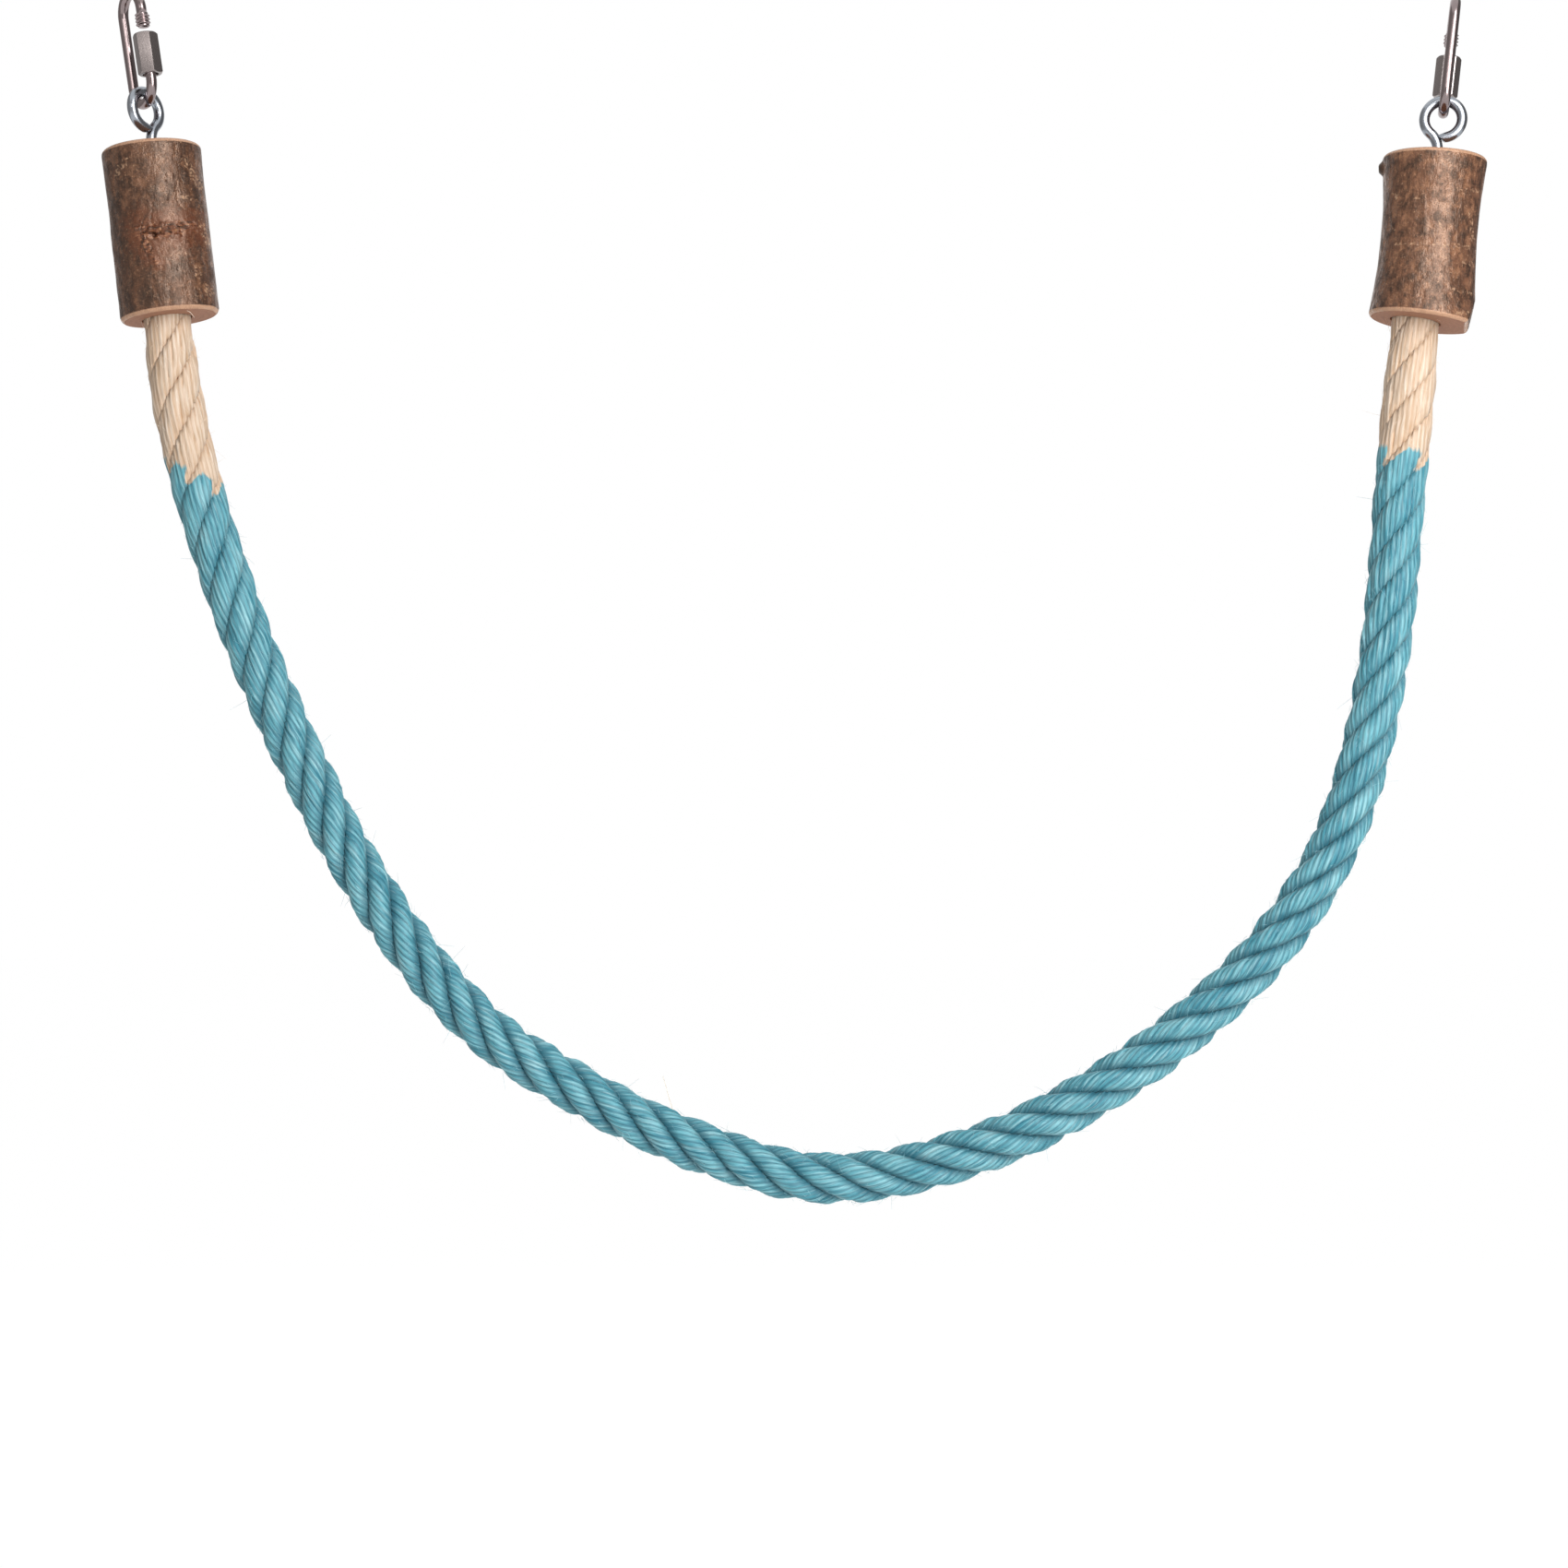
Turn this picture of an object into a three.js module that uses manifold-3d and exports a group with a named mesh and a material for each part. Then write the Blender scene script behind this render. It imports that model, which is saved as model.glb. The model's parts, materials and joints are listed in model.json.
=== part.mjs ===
// A rope swing for a bird cage: a thick laid rope hangs in a bow between two pieces of branch.
// Each piece of branch has a screw eye in its top, and each eye hangs in a quick link.
// Millimetres, +Z up, +X to the right, +Y away from the viewer.
// The origin is the saddle of the left link, the inside of its top bow, where it hangs.
import * as THREE from "three";
import { mergeVertices } from "three/addons/utils/BufferGeometryUtils.js";
import Module from "manifold-3d";

// Quick links: a round bar bent to a long ring, open on one side, and a sleeve nut that closes it
const LINK_BAR = 4;
const LINK_INSIDE_LENGTH = 38;
const LINK_INSIDE_WIDTH = 11.5;
const LINK_OPENING = 6;
const THREAD_DIAMETER = 5.6;
const STUD_PLAIN_LENGTH = 1.7; // bare bar between the top bow and the stud's thread
const STUD_THREAD_LENGTH = 5.5;
const LOWER_THREAD_LENGTH = 11.5;
const NUT_LENGTH = 15.5;
const NUT_ACROSS_FLATS = 8.2;
const NUT_CLEARANCE = 0.25;
// Where each nut stands, screwed down: from the stud's tip down to it, and its turn in degrees
const LEFT_NUT = { openGap: 2.6, turn: 22 };
const RIGHT_NUT = { openGap: 3.8, turn: 3 };

// Screw eyes: one wire, bent to a ring that runs into the shank
const EYE_WIRE = 4;
const EYE_INSIDE = 10;
const EYE_NECK = 5.9; // from the ring's lowest point down to the block
const EYE_SHANK_OFFSET = 1.2; // the shank stands this far to one side of the ring's middle
const EYE_SHANK_IN_WOOD = 22;
const EYE_POINT = 6;
const EYE_END_GAP = 0.15; // the wire's cut end lies this close along the neck
const RING_START_ANGLE = 231; // where the neck runs into the ring
const RING_END_ANGLE = -70; // where the ring runs out into the straight cut end
const EYE_END_RUN = 5.4; // how far the cut end would reach on, if the neck did not stop it
const EYE_END_SQUEEZE = 0.05; // the cutter leaves the end this much thinner

// Branch blocks
const BARK = 1.2;
const RIM_HEIGHT = 2; // the sanded edge at both ends
const RIM_INSET = 1.7;
const SOCKET_DEPTH = 30;
const LEFT_BRANCH = {
  length: 65,
  radius: 18.1,
  oval: 0.3,
  topSwell: 0.3,
  footSwell: 0.1,
  cutSlant: -1.5,
  chipDepth: 0,
  chipHeight: 10,
  chipTurn: 0,
  eyeShift: -0.3,
  socketShift: -1.2,
};
const RIGHT_BRANCH = {
  length: 63,
  radius: 17.65,
  oval: 0.3,
  topSwell: 1.7,
  footSwell: 2.6,
  cutSlant: 5,
  chipDepth: 3.45,
  chipHeight: 16.4,
  chipTurn: -13,
  eyeShift: 1.9,
  socketShift: -2.7,
};

// Rope and the glue that holds it
const ROPE_DIAMETER = 20;
const ROPE_SEAT_DIAMETER = 17; // the rope is squeezed to this in its sockets
const ROPE_SHOULDER = 2.5; // it has its full size again this far below a socket's mouth
const GLUE_WALL = 0.7;
const GLUE_FLOOR = 1.5;
const GLUE_RECESS = 5; // the glue stops this far up the socket
const ROPE_STRAIGHT_RUN = 10;
const LEFT_UNDYED = 60;
const RIGHT_UNDYED = 49;

// Clearances
const SEAT_GAP = 0.3;
const HANG_GAP = 0.5; // an eye's wire above the link's lower bow, so that it can swing

// How the two ends hang: span and drop between the saddles, then leans and turns in degrees
const HANG_SPAN = 504.1;
const HANG_DROP = 3.3;
const LEFT_LINK_LEAN = -8.3;
const LEFT_LINK_TURN = -52;
const RIGHT_LINK_LEAN = 6.3;
const RIGHT_LINK_TURN = 79;
const LEFT_END_LEAN = -6.5;
const RIGHT_END_LEAN = 4.5;
const LEFT_EYE_TURN = -122;
const RIGHT_EYE_TURN = -12.7;

// Middle of the rope between the blocks, as [right, down] from the origin
const ROPE_ROUTE = [
  [18, 152], [25, 183], [34, 213], [48.5, 252.5], [65.5, 290.5], [85, 328],
  [108.5, 363], [137, 393.5], [173, 416], [211, 434.5], [251, 447], [272, 448.3],
  [293, 446], [333, 433.5], [370, 414], [404, 389.5], [434, 360], [457, 325],
  [470.5, 285], [478, 243.5], [482, 202], [484.5, 172], [486.5, 150],
];

// Facets
const BAR_SIDES = 10;
const ROUND_SIDES = 24;
const BLOCK_SIDES = 36;
const BLOCK_ROWS = 7;
const ROPE_SIDES = 12;
const LINK_STEPS = 52;
const NECK_STEPS = 12;
const EYE_STEPS = 44;
const ROPE_STEP = 1.25 * ROPE_DIAMETER;
const ROPE_LENGTH_DIVISIONS = 800;
const MERGE_DISTANCE = 1e-4;

const wasm = await Module();
wasm.setup();

const radians = THREE.MathUtils.degToRad;

// A closed geometry as a solid that can be joined and cut
function solidOf(geometry) {
  const bare = new THREE.BufferGeometry();
  bare.setAttribute("position", geometry.getAttribute("position"));
  bare.setIndex(geometry.index);
  const merged = mergeVertices(bare, MERGE_DISTANCE);
  const vertProperties = merged.getAttribute("position").array;
  const triVerts = Uint32Array.from(merged.index.array);
  return new wasm.Manifold(new wasm.Mesh({ numProp: 3, vertProperties, triVerts }));
}

function geometryOf(solid) {
  const { vertProperties, triVerts } = solid.getMesh();
  const geometry = new THREE.BufferGeometry();
  geometry.setAttribute("position", new THREE.BufferAttribute(vertProperties, 3));
  geometry.setIndex(new THREE.BufferAttribute(triVerts, 1));
  geometry.computeVertexNormals();
  return geometry;
}

// A profile of [radius, height] pairs turned round the Z axis
function turned(profile, sides = ROUND_SIDES) {
  const points = profile.map(([radius, height]) => new THREE.Vector2(radius, height));
  return new THREE.LatheGeometry(points, sides).rotateX(Math.PI / 2);
}

// A plain round bar along Z
function bar(radius, bottom, top, sides = ROUND_SIDES) {
  return turned([[0, bottom], [radius, bottom], [radius, top], [0, top]], sides);
}

// A flat path of lines and arcs, stood up in the XZ plane
class StandingPath extends THREE.Curve {
  constructor(path) {
    super();
    this.path = path;
  }

  getPoint(t, target = new THREE.Vector3()) {
    const point = this.path.getPoint(t);
    return target.set(point.x, 0, point.y);
  }
}

// A stretch of a longer curve, between two distances along it
class Stretch extends THREE.Curve {
  constructor(curve, from, to) {
    super();
    this.curve = curve;
    this.start = from / curve.getLength();
    this.end = to / curve.getLength();
  }

  getPoint(t, target = new THREE.Vector3()) {
    return this.curve.getPointAt(THREE.MathUtils.lerp(this.start, this.end, t), target);
  }
}

// A round tube along a curve
function tube(curve, radius, sides, steps) {
  const section = new THREE.Shape();
  for (let side = 0; side < sides; side += 1) {
    const angle = (side / sides) * 2 * Math.PI;
    const x = radius * Math.cos(angle);
    const y = radius * Math.sin(angle);
    if (side === 0) section.moveTo(x, y);
    else section.lineTo(x, y);
  }
  return new THREE.ExtrudeGeometry(section, { extrudePath: curve, steps });
}

function piece(name, geometry, color, roughness, metalness) {
  const material = new THREE.MeshStandardMaterial({ color, roughness, metalness });
  const mesh = new THREE.Mesh(geometry, material);
  mesh.name = name;
  return mesh;
}

const steel = (name, geometry) => piece(name, geometry, 0xa8a29a, 0.3, 1);
const zinc = (name, geometry) => piece(name, geometry, 0xa9afb8, 0.35, 1);
const wood = (name, geometry) => piece(name, geometry, 0xb08562, 0.75, 0);
const bark = (name, geometry) => piece(name, geometry, 0x6e5140, 0.7, 0);
const glue = (name, geometry) => piece(name, geometry, 0xd9cba6, 0.5, 0);
const undyedRope = (name, geometry) => piece(name, geometry, 0xe2cdb0, 0.9, 0);
const dyedRope = (name, geometry) => piece(name, geometry, 0x4b96a5, 0.85, 0);

// Quick link, from its saddle down: the legs stand this far from the middle and the bows turn round them
const LEG_OFFSET = (LINK_INSIDE_WIDTH + LINK_BAR) / 2;
const TOP_BOW_HEIGHT = -LINK_INSIDE_WIDTH / 2;
const BOTTOM_BOW_HEIGHT = -LINK_INSIDE_LENGTH + LINK_INSIDE_WIDTH / 2;
const STUD_RUN_OUT_HEIGHT = TOP_BOW_HEIGHT - STUD_PLAIN_LENGTH;
const STUD_TIP_HEIGHT = STUD_RUN_OUT_HEIGHT - STUD_THREAD_LENGTH;
const LOWER_TIP_HEIGHT = STUD_TIP_HEIGHT - LINK_OPENING;
const THREAD_CHAMFER = (THREAD_DIAMETER - LINK_BAR) / 2;

function linkGeometry() {
  const path = new THREE.Path();
  path.moveTo(LEG_OFFSET, STUD_TIP_HEIGHT + THREAD_CHAMFER);
  path.lineTo(LEG_OFFSET, TOP_BOW_HEIGHT);
  path.absarc(0, TOP_BOW_HEIGHT, LEG_OFFSET, 0, Math.PI, false);
  path.lineTo(-LEG_OFFSET, BOTTOM_BOW_HEIGHT);
  path.absarc(0, BOTTOM_BOW_HEIGHT, LEG_OFFSET, Math.PI, 2 * Math.PI, false);
  path.lineTo(LEG_OFFSET, LOWER_TIP_HEIGHT - THREAD_CHAMFER);
  const ring = tube(new StandingPath(path), LINK_BAR / 2, BAR_SIDES, LINK_STEPS);
  const thread = THREAD_DIAMETER / 2;
  const root = LINK_BAR / 2;
  const stud = turned([
    [0, STUD_TIP_HEIGHT],
    [root, STUD_TIP_HEIGHT],
    [thread, STUD_TIP_HEIGHT + THREAD_CHAMFER],
    [thread, STUD_RUN_OUT_HEIGHT - THREAD_CHAMFER],
    [root, STUD_RUN_OUT_HEIGHT],
    [0, STUD_RUN_OUT_HEIGHT],
  ]);
  const lowerRunOut = LOWER_TIP_HEIGHT - LOWER_THREAD_LENGTH;
  const lower = turned([
    [0, lowerRunOut],
    [root, lowerRunOut],
    [thread, lowerRunOut + THREAD_CHAMFER],
    [thread, LOWER_TIP_HEIGHT - THREAD_CHAMFER],
    [root, LOWER_TIP_HEIGHT],
    [0, LOWER_TIP_HEIGHT],
  ]);
  stud.translate(LEG_OFFSET, 0, 0);
  lower.translate(LEG_OFFSET, 0, 0);
  return geometryOf(solidOf(ring).add(solidOf(stud)).add(solidOf(lower)));
}

// Sleeve nut in the open place: a hexagon with turned-off corners and a through bore
function nutGeometry({ openGap, turn }) {
  const corner = NUT_ACROSS_FLATS / Math.sqrt(3);
  const flat = NUT_ACROSS_FLATS / 2;
  const relief = corner - flat;
  const top = STUD_TIP_HEIGHT - openGap;
  const bottom = top - NUT_LENGTH;
  const hexagon = bar(corner, bottom, top, 6).rotateZ(radians(turn));
  const corners = turned([
    [0, bottom],
    [flat, bottom],
    [corner, bottom + relief],
    [corner, top - relief],
    [flat, top],
    [0, top],
  ]);
  const boreRadius = THREAD_DIAMETER / 2 + NUT_CLEARANCE;
  const bore = bar(boreRadius, bottom - NUT_LENGTH, top + NUT_LENGTH);
  const nut = solidOf(hexagon).intersect(solidOf(corners)).subtract(solidOf(bore));
  return geometryOf(nut).translate(LEG_OFFSET, 0, 0);
}

// Screw eye, from the middle of the ring's top wire down
const RING_RADIUS = (EYE_INSIDE + EYE_WIRE) / 2;
const RING_HEIGHT = -RING_RADIUS;
const EYE_SEAT_HEIGHT = RING_HEIGHT - RING_RADIUS - EYE_WIRE / 2 - EYE_NECK;
const RING_START = radians(RING_START_ANGLE);
const RING_END = radians(RING_END_ANGLE);
const NECK_REACH = -Math.cos(RING_START);
const NECK_RADIUS = (RING_RADIUS * NECK_REACH - EYE_SHANK_OFFSET) / (1 - NECK_REACH);
const NECK_HEIGHT = RING_HEIGHT + (RING_RADIUS + NECK_RADIUS) * Math.sin(RING_START);

function eyeGeometry() {
  const wire = EYE_WIRE / 2;
  const path = new THREE.Path();
  path.moveTo(-EYE_SHANK_OFFSET, EYE_SEAT_HEIGHT - EYE_NECK);
  path.lineTo(-EYE_SHANK_OFFSET, NECK_HEIGHT);
  path.absarc(-EYE_SHANK_OFFSET - NECK_RADIUS, NECK_HEIGHT, NECK_RADIUS, 0, RING_START - Math.PI, false);
  const neck = new StandingPath(path.clone());
  path.absarc(0, RING_HEIGHT, RING_RADIUS, RING_START, RING_END, true);
  const bent = solidOf(tube(new StandingPath(path), wire, BAR_SIDES, EYE_STEPS));
  const endPath = new THREE.Path();
  const endStart = RING_END + wire / RING_RADIUS;
  endPath.absarc(0, RING_HEIGHT, RING_RADIUS, endStart, RING_END, true);
  endPath.lineTo(
    RING_RADIUS * Math.cos(RING_END) + EYE_END_RUN * Math.sin(RING_END),
    RING_HEIGHT + RING_RADIUS * Math.sin(RING_END) - EYE_END_RUN * Math.cos(RING_END),
  );
  const end = solidOf(tube(new StandingPath(endPath), wire - EYE_END_SQUEEZE, BAR_SIDES, NECK_STEPS));
  const room = solidOf(tube(neck, wire + EYE_END_GAP, BAR_SIDES, NECK_STEPS));
  const tip = EYE_SEAT_HEIGHT - EYE_SHANK_IN_WOOD;
  const screw = turned([
    [0, tip],
    [wire, tip + EYE_POINT],
    [wire, EYE_SEAT_HEIGHT - SEAT_GAP],
    [0, EYE_SEAT_HEIGHT - SEAT_GAP],
  ]);
  screw.translate(-EYE_SHANK_OFFSET, 0, 0);
  return geometryOf(bent.add(end.subtract(room)).add(solidOf(screw)));
}

// Rows of points round the Z axis, joined to a closed skin.
// A looped skin joins its last row to its first, and any other has a point on the axis at each end.
// Each four-sided patch is split along its shorter diagonal, so that skins at two depths stay parallel.
function skin(rows, looped) {
  const sides = rows[0].length;
  const positions = rows.flat().flatMap((point) => point.toArray());
  const index = [];
  const bands = looped ? rows.length : rows.length - 1;
  for (let row = 0; row < bands; row += 1) {
    const above = (row + 1) % rows.length;
    for (let side = 0; side < sides; side += 1) {
      const next = (side + 1) % sides;
      const a = row * sides + side;
      const b = row * sides + next;
      const c = above * sides + next;
      const d = above * sides + side;
      const rising = rows[row][side].distanceTo(rows[above][next]);
      const falling = rows[row][next].distanceTo(rows[above][side]);
      if (rising < falling) index.push(a, b, c, a, c, d);
      else index.push(a, b, d, b, c, d);
    }
  }
  if (!looped) {
    const lastRow = (rows.length - 1) * sides;
    const bottom = positions.length / 3;
    positions.push(0, 0, rows[0][0].z, 0, 0, rows.at(-1)[0].z);
    for (let side = 0; side < sides; side += 1) {
      const next = (side + 1) % sides;
      index.push(bottom, next, side, bottom + 1, lastRow + side, lastRow + next);
    }
  }
  const geometry = new THREE.BufferGeometry();
  geometry.setAttribute("position", new THREE.Float32BufferAttribute(positions, 3));
  geometry.setIndex(index);
  return geometry;
}

// Distance from a branch's middle to the outside of its bark, at an angle round it and a height.
// A chip at the foot is flat and faces chipTurn degrees from +X.
// It starts at chipHeight and is chipDepth deep at the cut.
function branchRadius(branch, angle, height) {
  const along = height / branch.length;
  const top = branch.topSwell * Math.max(0, 2 * along - 1) ** 2;
  const foot = branch.footSwell * Math.max(0, 1 - 2 * along) ** 2;
  const round = branch.radius + top + foot + branch.oval * Math.cos(2 * angle);
  const facing = Math.cos(angle - radians(branch.chipTurn));
  if (facing <= 0 || height >= branch.chipHeight) return round;
  const depth = branch.chipDepth * (1 - height / branch.chipHeight);
  return Math.min(round, (branch.radius + branch.footSwell - depth) / facing);
}

// One row of points round a branch, at a depth under its bark, with the slant of the lower cut
function branchRow(branch, height, depth) {
  const slope = Math.tan(radians(branch.cutSlant)) * (1 - height / branch.length);
  return Array.from({ length: BLOCK_SIDES }, (_, side) => {
    const angle = (side / BLOCK_SIDES) * 2 * Math.PI;
    const radius = branchRadius(branch, angle, height) - depth;
    const x = radius * Math.cos(angle);
    return new THREE.Vector3(x, radius * Math.sin(angle), height - slope * x);
  });
}

// Heights of the rows that wood and bark share between the rims, with one at the top of the chip
function sharedHeights(branch) {
  const top = branch.length - RIM_HEIGHT;
  const rest = Array.from({ length: BLOCK_ROWS }, (_, row) =>
    THREE.MathUtils.lerp(branch.chipHeight, top, row / (BLOCK_ROWS - 1)),
  );
  return [RIM_HEIGHT, (RIM_HEIGHT + branch.chipHeight) / 2, ...rest];
}

const WOOD_DEPTH = BARK + SEAT_GAP;
const WOOD_RIM = RIM_HEIGHT * (1 - WOOD_DEPTH / RIM_INSET);
const BARK_RIM = RIM_HEIGHT * (1 - BARK / RIM_INSET);
const GLUE_BORE = ROPE_SEAT_DIAMETER / 2 + SEAT_GAP;
const GLUE_OUTSIDE = GLUE_BORE + GLUE_WALL;
const GLUE_TOP = SOCKET_DEPTH - SEAT_GAP;
const ROPE_END_HEIGHT = GLUE_TOP - GLUE_FLOOR - SEAT_GAP;

// Wood of a block, from its lower cut at height 0: sanded rims, the rope's socket and the eye's hole
function woodGeometry(branch, eyeX, eyeY) {
  const sides = [WOOD_RIM, ...sharedHeights(branch), branch.length - WOOD_RIM];
  const rows = [
    branchRow(branch, 0, RIM_INSET),
    ...sides.map((height) => branchRow(branch, height, WOOD_DEPTH)),
    branchRow(branch, branch.length, RIM_INSET),
  ];
  const socket = bar(GLUE_OUTSIDE + SEAT_GAP, -SOCKET_DEPTH, SOCKET_DEPTH, BLOCK_SIDES);
  socket.translate(branch.socketShift, 0, 0);
  const holeFloor = branch.length - EYE_SHANK_IN_WOOD - SEAT_GAP;
  const holeRadius = EYE_WIRE / 2 + SEAT_GAP;
  const hole = bar(holeRadius, holeFloor, branch.length + EYE_SHANK_IN_WOOD);
  hole.translate(eyeX, eyeY, 0);
  return geometryOf(solidOf(skin(rows, false)).subtract(solidOf(socket)).subtract(solidOf(hole)));
}

// Bark of a block: a shell whose ends follow the sanded rims
function barkGeometry(branch) {
  const heights = sharedHeights(branch);
  const outside = heights.map((height) => branchRow(branch, height, 0));
  const ends = [BARK_RIM, ...heights, branch.length - BARK_RIM];
  const inside = ends.map((height) => branchRow(branch, height, BARK));
  return skin([...outside, ...inside.reverse()], true);
}

// Set glue round the rope in its socket: a cup with its floor up
function glueGeometry(branch) {
  const floor = GLUE_TOP - GLUE_FLOOR;
  const cup = turned([
    [0, floor],
    [GLUE_BORE, floor],
    [GLUE_BORE, GLUE_RECESS],
    [GLUE_OUTSIDE, GLUE_RECESS],
    [GLUE_OUTSIDE, GLUE_TOP],
    [0, GLUE_TOP],
  ]);
  return cup.translate(branch.socketShift, 0, 0);
}

const swing = new THREE.Group();
const UP = new THREE.Vector3(0, 0, 1);

// Adds a quick link with its nut, and gives the place of the eye's top wire in its lower bow
function addLink(side, saddle, lean, turn, nut) {
  const link = new THREE.Group();
  link.position.copy(saddle);
  link.rotation.set(0, radians(lean), radians(turn));
  link.add(steel(`${side}_quick_link`, linkGeometry()));
  link.add(steel(`${side}_link_nut`, nutGeometry(nut)));
  swing.add(link);
  link.updateMatrixWorld(true);
  const wireHeight = -LINK_INSIDE_LENGTH + EYE_WIRE / 2 + HANG_GAP;
  return link.localToWorld(new THREE.Vector3(0, 0, wireHeight));
}

// Adds an eye with its block and glue, and gives three places on the rope's middle there:
// its end in the socket, the socket's mouth and the end of its straight run
function addEnd(side, eyeTop, lean, eyeTurn, branch) {
  const end = new THREE.Group();
  end.position.copy(eyeTop);
  end.rotation.y = radians(lean);
  const eye = zinc(`${side}_screw_eye`, eyeGeometry());
  eye.rotation.z = radians(eyeTurn);
  const shank = new THREE.Vector3(-EYE_SHANK_OFFSET, 0, 0).applyAxisAngle(UP, radians(eyeTurn));
  const block = new THREE.Group();
  block.position.set(-branch.eyeShift, 0, EYE_SEAT_HEIGHT - branch.length);
  block.add(wood(`${side}_block_wood`, woodGeometry(branch, branch.eyeShift + shank.x, shank.y)));
  block.add(bark(`${side}_block_bark`, barkGeometry(branch)));
  block.add(glue(`${side}_glue`, glueGeometry(branch)));
  end.add(eye, block);
  swing.add(end);
  end.updateMatrixWorld(true);
  const heights = [ROPE_END_HEIGHT, 0, -ROPE_STRAIGHT_RUN];
  return heights.map((z) => block.localToWorld(new THREE.Vector3(branch.socketShift, 0, z)));
}

const leftSaddle = new THREE.Vector3(0, 0, 0);
const rightSaddle = new THREE.Vector3(HANG_SPAN, 0, -HANG_DROP);
const leftEyeTop = addLink("left", leftSaddle, LEFT_LINK_LEAN, LEFT_LINK_TURN, LEFT_NUT);
const rightEyeTop = addLink("right", rightSaddle, RIGHT_LINK_LEAN, RIGHT_LINK_TURN, RIGHT_NUT);
const leftRope = addEnd("left", leftEyeTop, LEFT_END_LEAN, LEFT_EYE_TURN, LEFT_BRANCH);
const rightRope = addEnd("right", rightEyeTop, RIGHT_END_LEAN, RIGHT_EYE_TURN, RIGHT_BRANCH);

// The rope, from the left socket to the right one, in three stretches by colour
const ropeMiddle = new THREE.CatmullRomCurve3([
  ...leftRope,
  ...ROPE_ROUTE.map(([right, down]) => new THREE.Vector3(right, 0, -down)),
  ...rightRope.reverse(),
]);
ropeMiddle.arcLengthDivisions = ROPE_LENGTH_DIVISIONS;
const ropeLength = ropeMiddle.getLength();
const dyeStart = ROPE_END_HEIGHT + LEFT_UNDYED;
const dyeEnd = ropeLength - ROPE_END_HEIGHT - RIGHT_UNDYED;

function ropeTube(from, to, diameter) {
  const steps = Math.ceil((to - from) / ROPE_STEP);
  return tube(new Stretch(ropeMiddle, from, to), diameter / 2, ROPE_SIDES, steps);
}

// An end of the rope: its squeezed stretch runs on inside the full one
function ropeEndGeometry(seatFrom, seatTo, from, to) {
  const seat = solidOf(ropeTube(seatFrom, seatTo, ROPE_SEAT_DIAMETER));
  return geometryOf(seat.add(solidOf(ropeTube(from, to, ROPE_DIAMETER))));
}

const shoulder = ROPE_END_HEIGHT + ROPE_SHOULDER;
const seat = shoulder + ROPE_SHOULDER;
const leftEnd = ropeEndGeometry(0, seat, shoulder, dyeStart);
const span = ropeTube(dyeStart + SEAT_GAP, dyeEnd - SEAT_GAP, ROPE_DIAMETER);
const rightEnd = ropeEndGeometry(ropeLength - seat, ropeLength, dyeEnd, ropeLength - shoulder);
swing.add(undyedRope("left_rope_end", leftEnd));
swing.add(dyedRope("rope_span", span));
swing.add(undyedRope("right_rope_end", rightEnd));

export default swing;
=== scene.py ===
import json
import math
import random

import bpy
from mathutils import Matrix, Vector, noise


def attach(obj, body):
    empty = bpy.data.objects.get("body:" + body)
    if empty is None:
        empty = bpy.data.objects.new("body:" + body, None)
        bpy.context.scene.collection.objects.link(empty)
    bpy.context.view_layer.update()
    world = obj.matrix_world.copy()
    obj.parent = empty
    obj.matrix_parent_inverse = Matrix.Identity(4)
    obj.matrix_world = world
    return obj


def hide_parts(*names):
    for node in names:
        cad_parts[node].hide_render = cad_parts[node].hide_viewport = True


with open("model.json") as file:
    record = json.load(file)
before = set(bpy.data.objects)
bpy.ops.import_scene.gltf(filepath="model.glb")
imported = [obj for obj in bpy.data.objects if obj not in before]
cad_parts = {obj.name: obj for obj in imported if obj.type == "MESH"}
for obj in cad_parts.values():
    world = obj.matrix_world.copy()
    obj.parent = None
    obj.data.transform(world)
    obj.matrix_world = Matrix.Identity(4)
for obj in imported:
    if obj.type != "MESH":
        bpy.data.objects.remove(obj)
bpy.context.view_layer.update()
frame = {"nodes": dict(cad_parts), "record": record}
MM = 0.001
WELD = 0.001 * MM
AWAY = Vector((0, 1, 0))

# Quick links
LINK_BAR = 4 * MM
LINK_INSIDE_LENGTH = 38 * MM
LINK_INSIDE_WIDTH = 11.5 * MM
LINK_OPENING = 6 * MM
THREAD_DIAMETER = 5.6 * MM
THREAD_ROOT = 4.5 * MM
THREAD_PITCH = 1.3 * MM
THREAD_FADE = 0.8 * MM
THREAD_STEPS = 14
STUD_PLAIN_LENGTH = 1.7 * MM
STUD_THREAD_LENGTH = 5.5 * MM
LOWER_THREAD_LENGTH = 11.5 * MM
NUT_LENGTH = 15.5 * MM
NUT_ACROSS_FLATS = 8.2 * MM
NUT_CLEARANCE = 0.25 * MM
NUT_EDGE = 0.35 * MM
NUT_EDGE_ANGLE = math.radians(24)
NUT_SIDES = 6
# Gap from the stud's tip down to each nut, and the nut's turn
LEFT_NUT = (2.6 * MM, math.radians(22))
RIGHT_NUT = (3.8 * MM, math.radians(3))
BAR_SIDES = 28
BOW_STEPS = 30
TURNING_SIDES = 64
BORE_SIDES = 48

# Screw eyes
EYE_WIRE = 4 * MM
EYE_INSIDE = 10 * MM
EYE_NECK = 5.9 * MM
EYE_SHANK_OFFSET = 1.2 * MM
EYE_SHANK_IN_WOOD = 22 * MM
EYE_POINT = 6 * MM
EYE_TIP_RADIUS = 0.3 * MM
EYE_CUT_EDGE = 0.25 * MM
EYE_CUT_ANGLE = math.radians(60)
RING_START = math.radians(231)
RING_END = math.radians(-70)
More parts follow.
